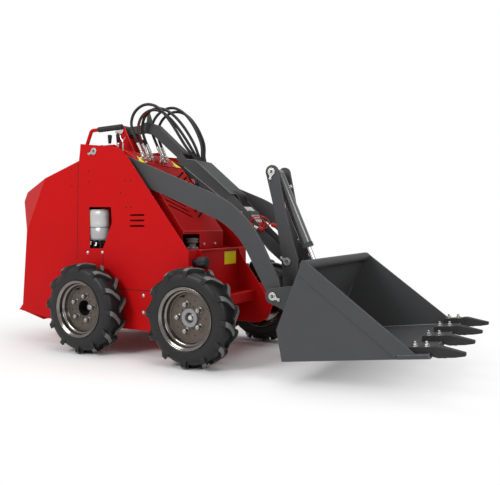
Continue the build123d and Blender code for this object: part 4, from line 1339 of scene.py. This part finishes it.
@dataclass
class Linkage:
    """Pin bolts, couplers, caps, leashes and cylinder ports."""

    pins: dict = field(default_factory=lambda: {
        "arm_pivot": ((-0.398, 1.224), 0.335, 200, "root", (-1, 1)),
        "mast_foot": ((0.815, 0.400), 0.3143, -25, "arms", (-1, 1)),
        "tilt_base": ((0.697, 1.070), 0.090, 260, "mast", (-1, )),
        "fork": ((0.795, 0.568), 0.091, 150, "link", (-1, )),
    })
    flag: float = 0.006
    coupler_count: int = 4
    coupler_pitch: float = 0.024
    line_pitch: float = 0.021
    weld_side: float = 0.0622
    weld_lift: float = 0.004

    def pin_bolts(self) -> None:
        """A bolt in each flag's tail and a greaser in each pin's middle."""
        for name, ((x, z), y, turn, body, sides) in self.pins.items():
            shape = Shape()
            recess_shade = Shape()
            for side in sides:
                axis = Vector((0, side, 0))
                face = side * (y + self.flag)
                tail = Vector((
                    x + 0.040 * math.cos(math.radians(turn)), face,
                    z + 0.040 * math.sin(math.radians(turn))
                ))
                shape.bolt(Bolt.FLAG, tail, axis)
                middle = Vector((x, face, z))
                shape.turned(
                    middle, axis,
                    (
                        (-0.001, 0.0145), (0.0018, 0.0145), (0.0026, 0.0135), (0.0026, 0.0085),
                        (0.0008, 0.0075)
                    ),
                    32
                )
                shape.turned(
                    middle, axis,
                    (
                        (0, 0.0030), (0.004, 0.0030), (0.0048, 0.0018), (0.0065, 0.0022),
                        (0.0075, 0.0012)
                    ),
                    14
                )
                # A thin dark ring in the groove round the greaser: painted shade in the recess.
                recess_shade.turned(middle, axis, ((0.0008, 0.0074), (0.0011, 0.0072)), 20)
            shape.piece(f"{name}_bolts", body, Finish.ZINC, 0.0003, 30)
            recess_shade.piece(f"{name}_recess_shade", body, Finish.DARK)

    def couplers(self) -> None:
        """Quick couplers on their block, with red dust caps on leashes."""
        base = Vector((0.520, 0, 0.846))
        run = Vector((0.69, 0, -0.72)).normalized()
        up = Vector((0.72, 0, 0.69)).normalized()
        drop = Vector((0.46, 0, -0.89)).normalized()
        bodies = Shape()
        caps = Shape()
        for number in range(self.coupler_count):
            y = Vector((0, (number - 1.5) * self.coupler_pitch, 0))
            foot = base + y + run * 0.026
            bodies.hexagon(foot, run, 0.0205, 0.012)
            turn = foot + run * 0.012
            bodies.turned(turn, drop, (
                (-0.006, 0.0080), (0.004, 0.0092), (0.014, 0.0092), (0.015, 0.0112),
                (0.030, 0.0112), (0.032, 0.0095), (0.040, 0.0095),
            ))
            back = base + y + run * 0.001
            bodies.hexagon(back, -run, 0.0195, 0.013)
            bodies.turned(back, -run, ((0.012, 0.0082), (0.024, 0.0082), (0.025, 0.006)), 20)
            caps.turned(
                turn, drop,
                (
                    (0.038, 0.0102), (0.039, 0.0122), (0.057, 0.0122), (0.061, 0.0100),
                    (0.0615, 0.003)
                )
            )
        half = Vector((0, 0.0535, 0))
        block = Shape().prism(
            [
                base + half - up * 0.015, base - half - up * 0.015, base - half + up * 0.015,
                base + half + up * 0.015
            ],
            run * 0.026,
        )
        block.piece("coupler_block", "link", Finish.GREY_PAINT, 0.0015, replaces=["couplers"])
        self.leashes(caps)
        self.hanging_caps(bodies, caps)
        bodies.piece("coupler_bodies", "link", Finish.ZINC, 0.0004, 28)
        self.spare_cap(caps)
        caps.piece("coupler_caps", "link", Finish.RED_PLASTIC, 0.0004, 40)

    def leashes(self, caps: Shape) -> None:
        """Add the looped leashes of the dust caps.

        Args:
            caps: the mesh of the red caps.
        """
        loops = ((0.606, 0.784, 0.057, 0.038), (0.594, 0.779, 0.042, 0.029))
        for x, z, wide, tall in loops:
            ring = []
            for step in range(49):
                turn = math.tau * step / 48
                over = max(math.cos(turn - 0.7), 0.0)
                ring.append((
                    x + wide * math.cos(turn),
                    -0.069 + 0.022 * over + (0.003 if wide < 0.05 else 0.0) * over,
                    z + tall * math.sin(turn) - 0.10 * wide * math.cos(turn),
                ))
            caps.tube(ring, 0.0032, 10)

    def hanging_caps(self, bodies: Shape, caps: Shape) -> None:
        """Add the two caps that hang from the leashes and the coupler between them.

        Args:
            bodies: the mesh of the coupler bodies.
            caps: the mesh of the red caps.
        """
        hang = Vector((0.78, 0, -0.50)).normalized()
        for start in ((0.548, -0.0752, 0.779), (0.611, -0.0752, 0.757)):
            caps.turned(
                start, hang,
                ((0, 0.0095), (0.001, 0.0122), (0.024, 0.0122), (0.029, 0.0098), (0.0295, 0.003))
            )
        bodies.turned(
            (0.580, -0.0752, 0.764), hang,
            ((0, 0.0090), (0.016, 0.0090), (0.017, 0.0108), (0.026, 0.0108), (0.027, 0.0095))
        )

    def spare_cap(self, caps: Shape) -> None:
        """Add the cap that lies on the link, with its tether.

        Args:
            caps: the mesh of the red caps.
        """
        spare = Vector((0.652, 0.004, 0.7745))
        nose = Vector((0.92, 0.05, -0.39)).normalized()
        caps.turned(
            spare, nose,
            ((0, 0.0095), (0.002, 0.0125), (0.026, 0.0125), (0.032, 0.0100), (0.0325, 0.004))
        )
        caps.tube([spare + nose * 0.002, spare - nose * 0.008, (0.636, -0.006, 0.777)], 0.0040, 10)

    def plug(self) -> None:
        """Build the plug on the side of the link."""
        plug = Shape().hexagon((0.484, -0.062, 0.842), (0, -1, 0), 0.021, 0.010)
        plug.turned(
            (0.484, -0.072, 0.842), (0, -1, 0), ((0, 0.007), (0.006, 0.007), (0.008, 0.005)), 18
        )
        plug.piece("link_plug", "link", Finish.ZINC, 0.0005)

    def lines(self) -> None:
        """Short hoses from under the cover to the couplers' backs."""
        tubes = Shape()
        collars = Shape()
        for number in range(self.coupler_count):
            y = (number - 1.5) * self.coupler_pitch
            spread = (number - 1.5) * self.line_pitch
            points = [
                (0.352, spread, 1.000), (0.405, spread, 0.975),
                (0.447 + 0.006 * number, spread, 0.944), (0.466, y, 0.912), (0.468, y, 0.884),
                (0.482, y, 0.875), (0.502, y, 0.8635),
            ]
            path = smooth_line(points, f"line_{number}")
            tubes.tube(path, 0.0078, 16)
            collars.turned(
                Vector((0.5025, y, 0.863)), Vector((-0.69, 0, 0.60)),
                ((-0.004, 0.0092), (0.014, 0.0092), (0.015, 0.0086)), 20
            )
        tubes.piece("link_lines", "link", Finish.HOSE_RUBBER, angle=60)
        collars.piece("link_collars", "link", Finish.ZINC, 0.0004)

    def folds(self) -> None:
        """Weld and fold lines along both sides of the link's box, in the pale edge grey: a painted
        highlight along the folds.
        """
        shape = Shape()
        for side in (-1, 1):
            for low, high in (
                ((0.100, 1.172), (0.180, 1.160)), ((0.449, 0.860), (0.660, 0.632)),
                ((0.083, 1.124), (0.449, 0.860))
            ):
                ends = [(x, side * self.weld_side, z + self.weld_lift) for x, z in (low, high)]
                shape.tube(bead(*ends, (0, 0, 0.0005), 2.2), 0.0026, 8)
        # The beads take the pale edge grey, which paints the highlight along the folds.
        shape.piece("link_weld_highlights", "link", Finish.GREY_EDGE, angle=60)

    def cylinder(self) -> None:
        """Gland ring and port fittings of the tilt cylinder."""
        base = Vector((0.697, 0, 1.070))
        eye = Vector((0.925, 0, 0.550))
        run = (eye - base).normalized()
        side = run.cross(Vector((0, 1, 0))).normalized()
        gland = Shape().turned(
            base + run * 0.437, run,
            ((0, 0.0312), (0.002, 0.0335), (0.024, 0.0335), (0.027, 0.0320), (0.028, 0.020)), 40
        )
        gland.piece("tilt_gland", "tilt_barrel", Finish.GREY_PAINT, 0.0004)
        ports = Shape()
        for reach, out in ((0.105, side), (0.405, -side)):
            foot = base + run * reach + out * 0.029
            ports.turned(foot, out, ((0, 0.012), (0.007, 0.012), (0.008, 0.010)), 20)
            ports.hexagon(foot + out * 0.007, out, 0.019, 0.009)
        ports.piece("tilt_ports", "tilt_barrel", Finish.ZINC, 0.0004)

    def build(self) -> None:
        """Build the linkage's details."""
        self.pin_bolts()
        self.couplers()
        self.plug()
        self.lines()
        self.folds()
        self.cylinder()


# Bucket details

@dataclass
class BucketTrim:
    """Tooth bolts, tooth tips and the weld beads inside the bucket."""

    tooth_count: int = 4
    tooth_span: float = 0.8765
    shank_top: tuple = ((1.572, 0.2395), (1.622, 0.2440))
    inner: float = 0.481
    weld_chain: tuple = ((1.052, 0.590), (0.9295, 0.2625), (0.9575, 0.1185), (1.500, 0.1905))
    wave: float = 0.0006

    def tooth_y(self, number: int) -> float:
        """Return a tooth's place across the bucket."""
        return self.tooth_span * (number / (self.tooth_count - 1) - 0.5)

    def bolts(self) -> None:
        """Two bolts with nuts on every tooth's shank."""
        shape = Shape()
        axis = Vector((-0.11, 0, 0.99)).normalized()
        for number in range(self.tooth_count):
            y = self.tooth_y(number)
            for x, z in self.shank_top:
                shape.bolt(Bolt.TOOTH, Vector((x, y, z)) - axis * 0.002, axis)
        shape.piece("tooth_bolts", "bucket", Finish.ZINC, 0.0005, 30)

    def tips(self) -> None:
        """A cast tip over each tooth's nose, with a slanted rear edge."""
        shape = Shape()
        stations = (
            (1.668, 0.2030, 0.2515, 0.0285), (1.690, 0.2040, 0.2490, 0.0280),
            (1.704, 0.2055, 0.2462, 0.0262), (1.740, 0.2092, 0.2400, 0.0212),
            (1.772, 0.2162, 0.2350, 0.0168), (1.7825, 0.2195, 0.2318, 0.0140),
        )
        for number in range(self.tooth_count):
            y = self.tooth_y(number)
            rings = []
            for x, z_low, z_high, half in stations:
                lean = 0.016 if x < 1.70 else 0.0
                middle = (z_low + z_high) / 2
                ring = []
                for side, level in (
                    (-1, 0.25), (-1, 0.8), (-0.55, 1), (0.55, 1), (1, 0.8), (1, 0.25), (0.8, 0),
                    (-0.8, 0)
                ):
                    z = z_low + (z_high - z_low) * level
                    ring.append((
                        x + lean * (middle - z) / (z_high - z_low) * 2, y + side * half, z
                    ))
                rings.append(ring)
            shape.loft(rings)
        shape.piece("tooth_tips", "bucket", Finish.CAST, 0.0012, 25)

    def welds(self) -> None:
        """Weld beads along both sides and along the floor's front edge."""
        shape = Shape()
        for side in (-1, 1):
            ends = [(x, side * self.inner, z) for x, z in self.weld_chain]
            for low, high in zip(ends, ends[1:]):
                path = bead(low, high, (0, -side * self.wave, self.wave), 2.4)
                shape.tube(path, 0.0038, 8)
        low, high = (1.5055, -self.inner, 0.1925), (1.5055, self.inner, 0.1925)
        shape.tube(bead(low, high, (0, 0, self.wave), 2.1, 0.01068), 0.0045, 8)
        # The beads take the pale edge grey: a painted highlight on the raised beads.
        shape.piece("bucket_welds", "bucket", Finish.GREY_EDGE, angle=60)

    def build(self) -> None:
        """Build the bucket's details."""
        self.bolts()
        self.tips()
        self.welds()


# Softened edges on the rigid pieces

@dataclass
class RigidPieces:
    """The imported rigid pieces: rounded edges, smooth curves and their finishes."""

    edge: float = 0.0016
    special: dict = field(default_factory=lambda: {
        "tilt_barrel": Finish.BARREL_PAINT, "bucket_teeth": Finish.CAST,
    })
    # Paler paints that the bevels take: painted edge highlights.
    worn: dict = field(default_factory=lambda: {
        Finish.RED_PAINT: Finish.RED_EDGE, Finish.GREY_PAINT: Finish.GREY_EDGE,
    })
    flat_angle: float = 2.0
    sharp_angle: float = 32.0
    slots: dict = field(default_factory=dict)

    def dress(self, node: str) -> None:
        """Round one node's edges and give it its slot's finish.

        Args:
            node: the node's name in the frame.
        """
        piece = frame["nodes"][node]
        piece.data.materials.clear()
        finish = self.special.get(node) or Finish[self.slots[node].upper()]
        piece.data.materials.append(finish.material())
        weld = piece.modifiers.new("weld", "WELD")
        weld.merge_threshold = 0.00002
        flat = piece.modifiers.new("flat", "DECIMATE")
        flat.decimate_type = "DISSOLVE"
        flat.angle_limit = math.radians(self.flat_angle)
        bevel = soften(piece, self.edge, self.sharp_angle, keep_sharp=True)
        # The bevel faces take a paler paint: a painted highlight along every rounded edge.
        if finish in self.worn:
            piece.data.materials.append(self.worn[finish].material())
            bevel.material = 1
        for polygon in piece.data.polygons:
            polygon.use_smooth = True

    def build(self) -> None:
        """Dress every node of the frame."""
        for row in frame["record"]["subparts"]:
            self.slots[row["node"]] = row["material_slot"]
        for node in frame["nodes"]:
            self.dress(node)
        LOG.info("rigid pieces: %d", len(frame["nodes"]))


# Stage

@dataclass
class Studio:
    """Pale floor, soft lamps, world light and the camera."""

    camera_place: tuple = (2.118, -2.957, 0.762)
    camera_turn: float = 28.53
    camera_dip: float = 1.60
    lens: float = 40.92
    floor_size: float = 60.0
    fade_start: float = 0.7
    fade_rate: float = 0.75
    world_light: float = 0.46
    glossy_share: float = 0.35
    lamps: tuple = (
        ("key", (-1.5, -5.5, 4.0), (0.2, 0, 0.6), 2.4, 215),
        ("front", (5.0, -2.0, 3.0), (0.6, 0, 0.5), 2.0, 75),
        ("top", (0.0, 0.5, 5.5), (0.2, 0, 0.6), 3.0, 95),
    )

    def camera(self) -> None:
        """Set the camera at the photograph's viewpoint."""
        data = bpy.data.cameras.new("camera")
        data.lens = self.lens
        data.sensor_width = 36.0
        data.clip_end = 200.0
        body = bpy.data.objects.new("camera", data)
        body.location = self.camera_place
        body.rotation_euler = (
            math.radians(90 - self.camera_dip), 0, math.radians(self.camera_turn)
        )
        bpy.context.scene.collection.objects.link(body)
        bpy.context.scene.camera = body

    def lamp(self, name: str, place: Point, aim: Point, size: float, power: float) -> None:
        """Add one soft area lamp.

        Args:
            name: the lamp's name.
            place: where it stands.
            aim: the point it faces.
            size: its side in metres.
            power: its power in watts.
        """
        data = bpy.data.lights.new(name, "AREA")
        data.energy = power
        data.size = size
        body = bpy.data.objects.new(name, data)
        body.location = place
        body.rotation_euler = (Vector(aim) - Vector(place)).to_track_quat("-Z", "Y").to_euler()
        bpy.context.scene.collection.objects.link(body)

    def world(self) -> None:
        """Even pale world light that the camera sees as white and reflections see brighter than the
        rest.
        """
        world = bpy.data.worlds.new("world")
        graph = Graph(world)
        camera, through, glossy = (
            graph.add("ShaderNodeLightPath", {}, {}, f"Is {ray} Ray")
            for ray in ("Camera", "Transmission", "Glossy")
        )
        seen = camera.larger(through).larger(glossy * self.glossy_share)
        levels = {"Value": seen, "To Min": self.world_light, "To Max": 1.0}
        strength = graph.add("ShaderNodeMapRange", {}, levels)
        look = {"Color": rgba(1, 1, 1), "Strength": strength}
        light = graph.add("ShaderNodeBackground", {}, look)
        graph.add("ShaderNodeOutputWorld", {}, {"Surface": light})
        bpy.context.scene.world = world

    def floor(self) -> None:
        """Lay the floor, which fades to white away from the machine."""
        mesh = bpy.data.meshes.new("floor")
        half = self.floor_size / 2
        corners = [(-half, -half, 0), (half, -half, 0), (half, half, 0), (-half, half, 0)]
        mesh.from_pydata(corners, [], [(0, 1, 2, 3)])
        body = bpy.data.objects.new("floor", mesh)
        bpy.context.scene.collection.objects.link(body)
        material = bpy.data.materials.new("floor")
        graph = Graph(material)
        reach = graph.add(
            "ShaderNodeVectorMath", {"operation": "LENGTH"}, {0: graph.place()}, "Value"
        )
        fade = ((reach - self.fade_start) * self.fade_rate).clamp()
        matt = graph.add("ShaderNodeBsdfDiffuse", {}, {"Color": rgba(0.93, 0.93, 0.93)})
        white = graph.add("ShaderNodeEmission", {}, {"Color": rgba(1, 1, 1), "Strength": 1.0})
        path = graph.add("ShaderNodeLightPath", {}, {}, "Is Camera Ray")
        both = graph.add("ShaderNodeMixShader", {}, {0: fade * path, 1: matt, 2: white})
        graph.add("ShaderNodeOutputMaterial", {}, {"Surface": both})
        mesh.materials.append(material)

    def build(self) -> None:
        """Set the whole stage."""
        self.camera()
        self.floor()
        self.world()
        for lamp in self.lamps:
            self.lamp(*lamp)
        bpy.context.scene.view_settings.view_transform = "Standard"
        LOG.info("stage set")


def main() -> None:
    """Build every sub-assembly in order."""
    logging.basicConfig(level=logging.INFO, format="%(name)s: %(message)s")
    Studio().build()
    Hoses().build()
    RigidPieces().build()
    for corner in ("front_right", "front_left", "rear_right", "rear_left"):
        Wheel(corner).build()
    Trim().build()
    Linkage().build()
    BucketTrim().build()


if __name__ == "__main__":
    main()
